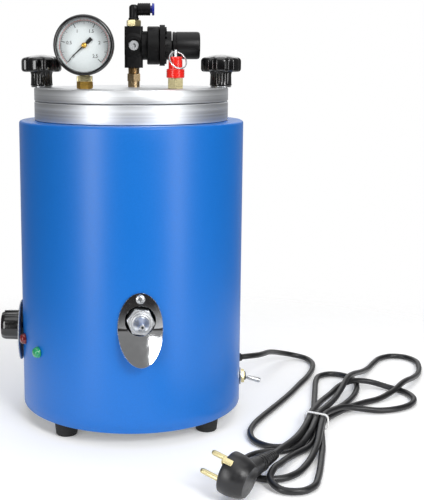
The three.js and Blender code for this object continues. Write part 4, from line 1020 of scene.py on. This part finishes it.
class POT_OT_gauge(PressurePotOperator, bpy.types.Operator):
    """The pressure gauge: case, bezel, glass, dial, marks, needle and stem."""

    bl_idname = "pressure_pot.gauge"
    bl_label = "Gauge"

    def build(self):
        size = sizes().gauge_radius / MM
        face = placed(*GAUGE_SPOT, LID_TOP + GAUGE_RISE, 0, FRONT)
        black = finish(gauge_lacquer)
        case = turned(
            [
                (0, -10), (size - 4, -10), (size - 1.4, -9.4), (size - 0.2, -7.6), (size, -6), (size, 10.6),
                (size - 0.3, 11), (27.1, 11), (27.1, -7), (0, -7),
            ],
            128,
        )
        hole = moved(rod(5.2, -31, -21), Matrix.Rotation(-math.pi / 2, 4, "X"))
        finished("gauge_case", cut(case, hole), black, "lid", face)
        bezel = turned(
            [
                (24.9, 11.3), (size - 0.4, 11.3), (size, 11.7), (size, 13.4), (size - 0.5, 14.5),
                (size - 1.6, 15.25), (size - 2.4, 15.3), (size - 3, 14.9), (25.2, 13.2), (24.9, 12.6),
                (24.9, 11.3),
            ],
            128,
        )
        finished("gauge_bezel", bezel, black, "lid", face)
        glass = turned([(0, 9), (26.4, 9), (26.8, 9.4), (26.8, 10.4), (26.4, 10.8), (0, 10.8)], 96)
        finished("gauge_lens", glass, finish(clear_glass), "lid", face)
        dial = turned([(1.4, 2), (26.6, 2), (26.8, 2.2), (26.8, 2.6), (26.6, 2.8), (1.4, 2.8), (1.4, 2)], 96)
        finished("gauge_dial", dial, finish(printed_dial), "lid", face)
        self.marks(face)
        self.needle(face)
        place = placed(*GAUGE_SPOT)
        stem = joined(
            prism(6, 13.5, 335.1, 341.7, 30),
            turned([(0, THREAD_FOOT), (5.6, THREAD_FOOT), (6, 323.6), (6, 335.4), (0, 335.4)], 48),
        )
        gold = finish(machined_brass, "gauge_stem")
        finished("gauge_stem", stem, gold, "lid", place, 0.25)
        square = joined(
            block((-7.25, -7.25, 341.75), (7.25, 7.25, 347.1), 0.9, 2, 3), rod(5, 346.8, 348.4, 32)
        )
        pale = finish(machined_brass, "gauge_stem", "pale_brass")
        finished("gauge_stem_square", square, pale, "lid", place, 0.25, replaced=())

    def marks(self, face):
        """Ticks and numbers round three quarters of the dial."""
        ground = 2.8

        def tick(angle, near, far, width):
            bar = block((near, -width / 2, ground), (far, width / 2, ground + 0.06))
            return moved(bar, placed(turn=angle))

        steps = 50
        black = []
        for step in range(steps + 1):
            angle = DIAL_START - DIAL_SWEEP * step / steps
            long = step % 10 == 0
            half = step % 5 == 0
            black.append(
                tick(
                    angle, 18.4 if long else 20 if half else 21, 22.4, 0.7 if long else 0.42 if half else 0.26
                )
            )
        black.append(self.arc(22.3, 22.7, ground))
        for value in range(6):
            angle = math.radians(DIAL_START - DIAL_SWEEP / 5 * value)
            text = bpy.data.curves.new("number", "FONT")
            text.body = ("0", "0.5", "1", "1.5", "2", "2.5")[value]
            text.size, text.align_x, text.align_y, text.extrude = 4.4, "CENTER", "CENTER", 0.03
            text.offset = 0.05
            writing = bpy.data.objects.new("number", text)
            bpy.context.scene.collection.objects.link(writing)
            shown = writing.evaluated_get(bpy.context.evaluated_depsgraph_get())
            digits = bmesh.new()
            digits.from_mesh(shown.to_mesh())
            shown.to_mesh_clear()
            bpy.data.objects.remove(writing)
            bpy.data.curves.remove(text)
            near = 14.6
            black.append(
                moved(
                    digits,
                    Matrix.Translation((near * math.cos(angle), near * math.sin(angle), ground + 0.04))
                )
            )
        finished(
            "gauge_marks", joined(*black), finish(ink, "black_ink", "#151515"), "lid", face,
            replaced=()
        )
        red = [
            tick(DIAL_START - DIAL_SWEEP * step / 36, 23.5, 24.6 if step % 6 else 24.9, 0.3)
            for step in range(37)
        ]
        red.append(self.arc(23.3, 23.6, ground))
        finished(
            "gauge_red_scale", joined(*red), finish(ink, "red_ink", "#D5332B"), "lid", face,
            replaced=()
        )

    def arc(self, near, far, ground):
        """A thin ring over the 270 degrees of the scale."""
        bm = bmesh.new()
        points = [(near, ground), (far, ground), (far, ground + 0.05), (near, ground + 0.05)]
        line = [bm.verts.new((radius, 0, height)) for radius, height in points]
        end = bm.faces.new(line)
        bmesh.ops.spin(
            bm, geom=[end], cent=(0, 0, 0), axis=(0, 0, 1), angle=1.5 * math.pi, steps=72, use_duplicate=False
        )
        return moved(bm, placed(turn=-45))

    def needle(self, face):
        hand = bmesh.new()
        half = [(19.5, 0.18), (3, 0.75), (0, 0.9), (-3, 0.95), (-4.4, 1.7), (-9.5, 1.9)]
        outline = half + [(x, -y) for x, y in reversed(half)]
        ring = [hand.verts.new((x, y, 4.2)) for x, y in outline]
        sheet = hand.faces.new(ring)
        lifted = bmesh.ops.extrude_face_region(hand, geom=[sheet])["geom"]
        bmesh.ops.translate(
            hand, vec=(0, 0, 0.6), verts=[v for v in lifted if isinstance(v, bmesh.types.BMVert)]
        )
        hand = moved(hand, placed(turn=223))
        hub = turned(
            [(0, 0.5), (1, 0.5), (1, 3.4), (2.6, 3.4), (2.6, 5.6), (2.2, 6.2), (1.2, 6.7), (0, 6.8)], 48
        )
        finished(
            "gauge_needle", hand, finish(ink, "needle_lacquer", "#0E0E0F"), "gauge_needle",
            face
        )
        finished(
            "gauge_hub", hub, finish(machined_brass, "gauge_needle"), "gauge_needle", face,
            replaced=()
        )


class POT_OT_regulator(PressurePotOperator, bpy.types.Operator):
    """The air regulator on its nipple, with the push-in hose elbow on top."""

    bl_idname = "pressure_pot.regulator"
    bl_label = "Regulator and elbow"

    def build(self):
        paint = finish(die_cast_paint)
        base = placed(*REGULATOR_SPOT, LID_TOP + REGULATOR_RISE)
        side = base @ RIGHT
        column = block((-9.3, -9.3, -22.4), (9.3, 9.3, 19), 3, 2, 5)
        boss = moved(
            turned([(0, 6), (7.9, 6), (7.9, 10.6), (7.4, 11.1), (6.2, 11.1), (6.2, 9.6), (0, 9.6)], 64), FRONT
        )
        bulge = turned([(0, 6), (13.6, 6), (13.2, 8.6), (11.6, 10), (9.6, 10.4), (0, 10.4)], 96)
        bulge = combined(moved(bulge, FRONT), "INTERSECT", block((-9.3, -14, -16), (9.3, 0, 16)))
        back = moved(rod(13.6, -10, -6, 96), FRONT)
        back = combined(back, "INTERSECT", block((-9.3, 0, -16), (9.3, 9.8, 16)))
        neck = moved(turned([(0, 8), (14.5, 8), (14.5, 14.8), (0, 14.8)], 96), RIGHT)
        drum = moved(
            turned([(0, 13.6), (18.4, 13.6), (19.2, 14.4), (19.2, 25.2), (18.4, 26), (0, 26)], 96), RIGHT
        )
        body = combined(column, "UNION", bulge, back, boss, neck, drum)
        body = cut(
            body,
            moved(rod(5.5, 5.8, 14, 48), FRONT),
            rod(6.3, -25, -14.4, 48),
            rod(5.3, 11, 22, 48),
        )
        finished("regulator_body", body, paint, "lid", base, 0.4, 40)

        flange = block((-20.4, -20.4, 26.3), (20.4, 20.4, 31.4), 11, 2, 10)
        collar = turned([(0, 30), (15.4, 30), (14.4, 32.4), (14.4, 37.6), (13.8, 38.4), (0, 38.4)], 96)
        lugs = []
        for turn in range(45, 405, 90):
            lug = rod(3.1, 29, 32.6, 32)
            lugs.append(
                moved(lug, placed(turn=turn) @ placed(19.4, 0, 0))
            )
        ribs = [
            moved(block((14, -0.8, 31), (18.6, 0.8, 33.4), 0.3), placed(turn=turn))
            for turn in range(0, 360, 30)
        ]
        bonnet = combined(flange, "UNION", collar, *lugs, *ribs)
        bonnet = cut(bonnet, rod(9, 25, 34.4, 64), rod(5.3, 26, 40, 48))
        finished("regulator_bonnet", bonnet, paint, "lid", side, 0.3, 40)

        spindle = turned([(0, 27.3), (8.6, 27.3), (8.6, 31.4), (5, 31.4), (5, 60), (0, 60)], 64)
        finished("regulator_spindle", spindle, paint, "regulator_spindle", side, 0.3)
        outline = [
            (5.3, 39.4), (13.2, 39.4), (13.8, 40), (13.8, 41.4), (13.4, 41.9), (13.4, 43), (13.8, 43.5),
            (13.8, 64.6), (13.3, 66.2), (12.2, 67), (11.2, 67), (10.8, 66.5), (0, 66.4), (0, 63), (5.3, 63),
            (5.3, 39.4),
        ]
        finished(
            "regulator_knob", turned(outline, 128), finish(moulded_nylon), "regulator_knob",
            side
        )
        screw = moved(turned([(0, 5.8), (5.2, 5.8), (5.2, 9.8), (4.8, 10.3), (0, 10.3)], 64), FRONT)
        socket = moved(prism(6, 4.2, 8.2, 12), FRONT)
        finished(
            "regulator_plug", cut(screw, socket), finish(bright_steel, "regulator_plug", "Y", (0.5, 0.6)),
            "lid", base, 0.15
        )

        low = LID_TOP + 0.3
        thread = [(0, THREAD_FOOT), (5.4, THREAD_FOOT), (6, 323.8), (6, low + 5.6), (5.9, low + 13)]
        height = low + 13.3
        while height < 355.2:
            thread += [(5.4, height), (6, height + 0.45), (6, height + 0.6), (5.4, height + 1.05)]
            height += 1.2
        thread += [(5.4, 361), (5.2, 361.2), (0, 361.2)]
        hexagon = prism(6, 13, low + 5.6, low + 13.2)
        finished(
            "nipple", joined(turned(thread, 64), hexagon), finish(machined_brass, "nipple", "dull_brass"),
            "lid", placed(*REGULATOR_SPOT), 0.2
        )
        self.elbow()

    def elbow(self):
        top = LID_TOP + REGULATOR_RISE + 19 + 0.3
        nut = joined(
            prism(6, 13.5, top, top + 5.8, 10),
            rod(5, top - 6.5, top + 0.5, 48),
            turned(
                [
                    (0, top + 5.7), (6.2, top + 5.7), (5.6, top + 6.3), (2.4, top + 6.3), (2.4, top + 10.6),
                    (0, top + 10.6)
                ],
                48
            ),
        )
        place = placed(*REGULATOR_SPOT)
        finished(
            "elbow_nut", nut, finish(machined_brass, "elbow_nut", "pale_brass"), "lid", place,
            0.2
        )
        axis = top + 5.8 + 11
        arm = placed(0, 0, axis) @ RIGHT
        foot = top + 6.4
        leg = turned(
            [
                (0, foot), (5.0, foot), (5.4, foot + 0.4), (5.4, foot + 1.6), (4.7, foot + 2.2),
                (4.7, axis + 2.6),
                (4.2, axis + 4), (3, axis + 4.7), (0, axis + 4.7),
            ],
            64,
        )
        ribs = [(0, 3.6), (5.2, 3.6), (6.3, 4.5)]
        for index in range(5):
            start = 5.6 + index * 2.1
            ribs += [(6.3, start), (6.05, start + 0.2), (6.05, start + 0.7), (6.3, start + 0.9)]
        ribs += [(6.3, 16.3), (5.9, 16.8), (0, 16.8)]
        body = combined(
            leg, "UNION", moved(rod(4.7, 0, 5.5, 64), arm), moved(turned(ribs, 64), arm),
            moved(block((-4.2, -2.4, -1.2), (4.2, 2.4, 4.9), 0.5), placed(0, 0, axis)),
        )
        body = cut(
            body, moved(rod(3.2, 2, 18, 48), arm), moved(rod(4.9, 11.8, 18, 48), arm),
            rod(2.7, top + 5, top + 11.2, 48)
        )
        finished("elbow_body", body, finish(moulded_nylon), "elbow", place, 0.2, 40)
        collar = turned(
            [
                (3.2, 13.8), (3.9, 13.8), (3.9, 18.5), (5.9, 18.5), (6.2, 18.8), (6.2, 20.4), (5.7, 20.9),
                (3.6, 20.9), (3.2, 20.5), (3.2, 13.8),
            ],
            64,
        )
        finished(
            "release_collar", moved(collar, arm), finish(dyed_plastic, "blue_acetal", colours().collar_blue),
            "release_collar", place
        )


class POT_OT_relief_valve(PressurePotOperator, bpy.types.Operator):
    """The relief valve with its red cap and pull ring."""

    bl_idname = "pressure_pot.relief_valve"
    bl_label = "Relief valve"

    def build(self):
        place = placed(*VALVE_SPOT, 0, 30)
        low = LID_TOP + 0.3
        top = low + 9.8
        base = joined(
            prism(6, 14, low, top, 30),
            turned([(0, THREAD_FOOT), (4.6, THREAD_FOOT), (5, 323.5), (5, low + 0.5), (0, low + 0.5)], 48),
        )
        base = cut(base, rod(1.95, top - 3, top + 1, 24))
        finished(
            "valve_base", base, finish(machined_brass, "valve_base", "pale_brass"), "lid",
            place, 0.25
        )
        start = top + 0.3
        step = start + 8.4
        crown = step + 11.6
        profile = [(1.95, start), (8, start), (8.7, start + 0.7)]
        for index in range(4):
            height = start + 1.4 + index * 1.7
            profile += [(8.7, height), (8.3, height + 0.25), (8.3, height + 0.55), (8.7, height + 0.8)]
        profile += [(8.7, step - 0.6), (8.1, step), (7, step), (6.65, step + 0.4), (6.65, crown - 3.4)]
        profile += [
            (6.2, crown - 3), (6.2, crown - 2.4), (6.65, crown - 2), (6.65, crown - 0.8), (5.9, crown)
        ]
        profile += [(1.95, crown), (1.95, start)]
        finished(
            "valve_cap", turned(profile, 96),
            finish(dyed_plastic, "red_anodised_aluminium", colours().cap_red), "lid", place
        )
        eye = crown + 4.5
        stem = turned(
            [(0, top - 2.5), (1.65, top - 2.5), (1.65, crown + 6), (1.2, crown + 6.8), (0, crown + 6.8)], 32
        )
        stem = cut(stem, moved(rod(0.95, -4, 4, 24), placed(0, 0, eye) @ RIGHT))
        finished("valve_stem", stem, finish(bright_steel, "valve_stem"), "valve_stem", place)
        wire = sizes().ring_wire / MM / 2
        turns = [
            moved(torus(8.9, wire, 96, 12), placed(0, -8.9, level, 0, Matrix.Diagonal((1, 1, 0.52, 1))))
            for level in (-wire / 2, wire / 2)
        ]
        finished(
            "pull_ring", joined(*turns), finish(bright_steel, "pull_ring"), "pull_ring",
            place @ placed(0, 0, eye) @ Matrix.Rotation(math.radians(60), 4, "X")
        )


class POT_OT_nozzle(PressurePotOperator, bpy.types.Operator):
    """The nozzle, and the chromed escutcheon with its screw."""

    bl_idname = "pressure_pot.nozzle"
    bl_label = "Nozzle"

    def build(self):
        place = placed(0, 0, NOZZLE_HEIGHT, FRONT_TURN)
        wall = sizes().shell_radius / MM
        back, front, tip = wall + 1, wall + 8.5, wall + 25
        cone = turned(
            [
                (0, 95.5), (7.6, 95.5), (8, 95.9), (8, back + 0.5), (10.6, back + 0.5), (10.6, front),
                (10.2, front + 0.4),
                (10.2, front + 1.2), (9.4, front + 1.5), (8.9, front + 1.3), (8.6, front + 2.2),
                (7.4, front + 3),
                (7.2, front + 5), (6.8, front + 5.3), (6.9, front + 7), (6.4, front + 8), (4.9, tip - 6),
                (3.5, tip - 3.2), (3.1, tip - 2.2), (2.9, tip - 0.6), (2.5, tip), (0, tip),
            ],
            96,
        )
        hexagon = prism(6, 22.6, back, front, 23)
        nozzle = combined(cone, "UNION", hexagon)
        nozzle = cut(nozzle, rod(1.1, 94, tip + 1, 32))
        finished(
            "nozzle", nozzle, finish(bright_steel, "nozzle", "Y", (0.4, 0.52)), "nozzle",
            place @ FRONT, 0.2
        )

        plate = turned([(1 + share / 16, 0) for share in range(17)], 128)
        tidy(plate)
        for vert in plate.verts:
            angle = math.atan2(vert.co.y, vert.co.x)
            share = math.hypot(vert.co.x, vert.co.y) - 1
            across, along = math.cos(angle), math.sin(angle)
            hole, half_width = 14.4, 21.0
            x = (hole + (half_width - hole) * share) * across
            z = hole * along * (1 - share) + (-7.5 + 34 * along) * share
            bent = max(0.0, (-z - 9) / 32.5)
            out = math.sqrt(wall**2 - x**2) + 0.7 + 13 * bent**1.1
            vert.co = (x, -out, z)
        bmesh.ops.recalc_face_normals(plate, faces=plate.faces)
        bmesh.ops.solidify(plate, geom=plate.faces, thickness=-1.0)
        hole = moved(rod(2.4, 100, 125, 32), placed(0, 0, SCREW_RISE, 0, FRONT))
        finished("escutcheon", cut(plate, hole), finish(chrome_plate), "housing", place, 0.25, 40)
        seat = wall + 2.1
        head = turned(
            [
                (0, seat - 1.6), (2, seat - 1.6), (2, seat), (4.1, seat), (4.3, seat + 0.3),
                (3.9, seat + 1.2), (2.6, seat + 2), (0, seat + 2.3)
            ],
            64,
        )
        slots = [
            block((-2.7, -0.5, seat + 0.9), (2.7, 0.5, seat + 4), 0.1),
            block((-0.5, -2.7, seat + 0.9), (0.5, 2.7, seat + 4), 0.1),
        ]
        finished(
            "escutcheon_screw", cut(head, *slots), finish(bright_steel, "escutcheon_screw", "Y"), "housing",
            place @ placed(0, 0, SCREW_RISE, 0, FRONT), 0.1
        )


class POT_OT_thermostat(PressurePotOperator, bpy.types.Operator):
    """The thermostat's plate and knob, and the two lamps below it."""

    bl_idname = "pressure_pot.thermostat"
    bl_label = "Thermostat and lamps"

    def build(self):
        wall = sizes().shell_radius / MM
        place = placed(0, 0, THERMOSTAT_HEIGHT, 0, LEFT)
        low = wall + 1.2
        disc = turned(
            [(0, low), (30.4, low), (31, low + 0.5), (31, low + 1.1), (30.4, low + 1.6), (0, low + 1.6)], 128
        )
        plate = cut(moved(disc, placed(-DIAL_DROP, 0, 0)), rod(4, low - 1, low + 3))
        finished(
            "dial_plate", plate, finish(bright_steel, "dial_plate", "X", (0.5, 0.6)), "housing",
            place
        )
        back = low + 2.4
        front = back + 19

        def facets(angle):
            return 0.035 * (0.5 - 0.5 * math.cos(12 * angle))

        rings = [
            (15.2, back, 0.2), (15.5, back + 0.4, 1), (15.2, back + 4, 1), (14.9, front - 5, 1),
            (14.5, front - 3, 1),
            (13.6, front - 1, 0.9), (12.8, front - 0.2, 0.6), (12.0, front, 0.3), (10.6, front - 0.25, 0),
            (10.2, front - 0.8, 0), (0.4, front - 0.9, 0),
        ]
        grip = ringed(rings, facets, 144)
        pointer = block((11, -1, back + 0.6), (15.9, 1, front - 3), 0.4)
        knob = cut(combined(grip, "UNION", pointer), rod(3.3, back - 1, back + 9, 32))
        finished("thermostat_knob", knob, finish(phenolic), "thermostat_knob", place, 0.15, 40)
        line = block((11.6, -0.6, front - 2.9), (13.4, 0.6, front - 0.6), 0.2)
        mark = moved(block((15.4, -0.55, back + 1), (16.1, 0.55, front - 3.6), 0.2))
        finished(
            "thermostat_pointer", joined(line, mark), finish(ink, "white_ink", "#F2F2F0"), "thermostat_knob",
            place, replaced=()
        )
        for name, turn, height, colour in LAMPS:
            lens = turned(
                [
                    (0, 101), (4.5, 101), (4.5, wall + 0.4), (5.6, wall + 0.4), (5.6, wall + 1.2),
                    (5.2, wall + 1.6),
                    (5.1, wall + 2.6), (4.6, wall + 4), (3.7, wall + 5), (2.3, wall + 5.6), (0, wall + 5.8),
                ],
                64,
            )
            finished(
                name, lens, finish(lens_plastic, colour, getattr(colours(), colour)), "housing",
                around(turn, height)
            )


class POT_OT_switch(PressurePotOperator, bpy.types.Operator):
    """The toggle switch and the gland of the mains lead."""

    bl_idname = "pressure_pot.switch"
    bl_label = "Switch and gland"

    def build(self):
        wall = sizes().shell_radius / MM
        place = placed(0, 0, SWITCH_HEIGHT, 0, RIGHT)
        low = wall + 0.5
        washer = cut(
            turned(
                [
                    (4.8, low), (8.8, low), (9, low + 0.2), (9, low + 1.1), (8.8, low + 1.3),
                    (4.8, low + 1.3), (4.8, low)
                ],
                64
            ),
            block((-1.2, 7.6, low - 1), (1.2, 10, low + 3)),
        )
        finished(
            "switch_washer", washer, finish(bright_steel, "switch_washer", "X"), "housing", place
        )
        low += 1.6
        nut = cut(prism(6, 12.5, low, low + 3.2), rod(4.8, low - 1, low + 5, 48))
        finished(
            "switch_nut", nut, finish(machined_brass, "switch_nut", "pale_brass"), "housing",
            place, 0.2
        )
        pivot = low + 0.8
        lever = turned(
            [
                (0, -2.6), (1.2, -2.4), (1.8, -1.8), (2.2, 0), (1.7, 2), (1.5, 4), (1.7, 5), (2.3, 7),
                (2.6, 12),
                (2.7, 18.6), (2.4, 19.9), (1.6, 20.4), (0, 20.5),
            ],
            48,
        )
        finished(
            "switch_lever", lever, finish(bright_steel, "switch_lever", "X"), "switch_lever",
            place @ placed(0, 0, pivot) @ Matrix.Rotation(math.radians(15), 4, "Y")
        )
        start = wall + 0.5
        profile = [
            (0, 103), (6, 103), (6, start), (7.7, start), (8, start + 0.3), (8, start + 2.6),
            (7.6, start + 3), (5.8, start + 4)
        ]
        for index in range(5):
            height = start + 5 + index * 3
            radius = 5.5 - 0.22 * index
            profile += [
                (radius, height), (radius - 0.08, height + 1.8), (radius - 0.9, height + 2.1),
                (radius - 0.9, height + 2.8)
            ]
        profile += [(4.4, wall + 20.6), (4.3, wall + 21), (0, wall + 21)]
        finished(
            "cable_gland", turned(profile, 64), finish(flexible_pvc), "housing",
            around(GLAND_TURN, GLAND_HEIGHT)
        )


STEPS = (
    POT_OT_camera_and_stage,
    POT_OT_mains_lead,
    POT_OT_shell,
    POT_OT_tank,
    POT_OT_lid,
    POT_OT_clamps,
    POT_OT_gauge,
    POT_OT_regulator,
    POT_OT_relief_valve,
    POT_OT_nozzle,
    POT_OT_thermostat,
    POT_OT_switch,
)


class POT_PT_panel(bpy.types.Panel):
    """Lists the pieces that can be built."""

    bl_idname = "POT_PT_panel"
    bl_label = "Pressure Pot"
    bl_space_type = "VIEW_3D"
    bl_region_type = "UI"
    bl_category = "Pressure Pot"

    def draw(self, context):
        for group in (context.scene.pot_sizes, context.scene.pot_colours):
            column = self.layout.column()
            for name in group.bl_rna.properties.keys():
                if name not in ("rna_type", "name"):
                    column.prop(group, name)
        for step in STEPS:
            self.layout.operator(step.bl_idname)


def register():
    for kind in (PotSizes, PotColours, *STEPS, POT_PT_panel):
        bpy.utils.register_class(kind)
    bpy.types.Scene.pot_sizes = PointerProperty(type=PotSizes)
    bpy.types.Scene.pot_colours = PointerProperty(type=PotColours)


def unregister():
    del bpy.types.Scene.pot_colours
    del bpy.types.Scene.pot_sizes
    for kind in (POT_PT_panel, *reversed(STEPS), PotColours, PotSizes):
        bpy.utils.unregister_class(kind)


def main():
    register()
    for step in STEPS:
        group, name = step.bl_idname.split(".")
        getattr(getattr(bpy.ops, group), name)()


if __name__ == "__main__":
    main()
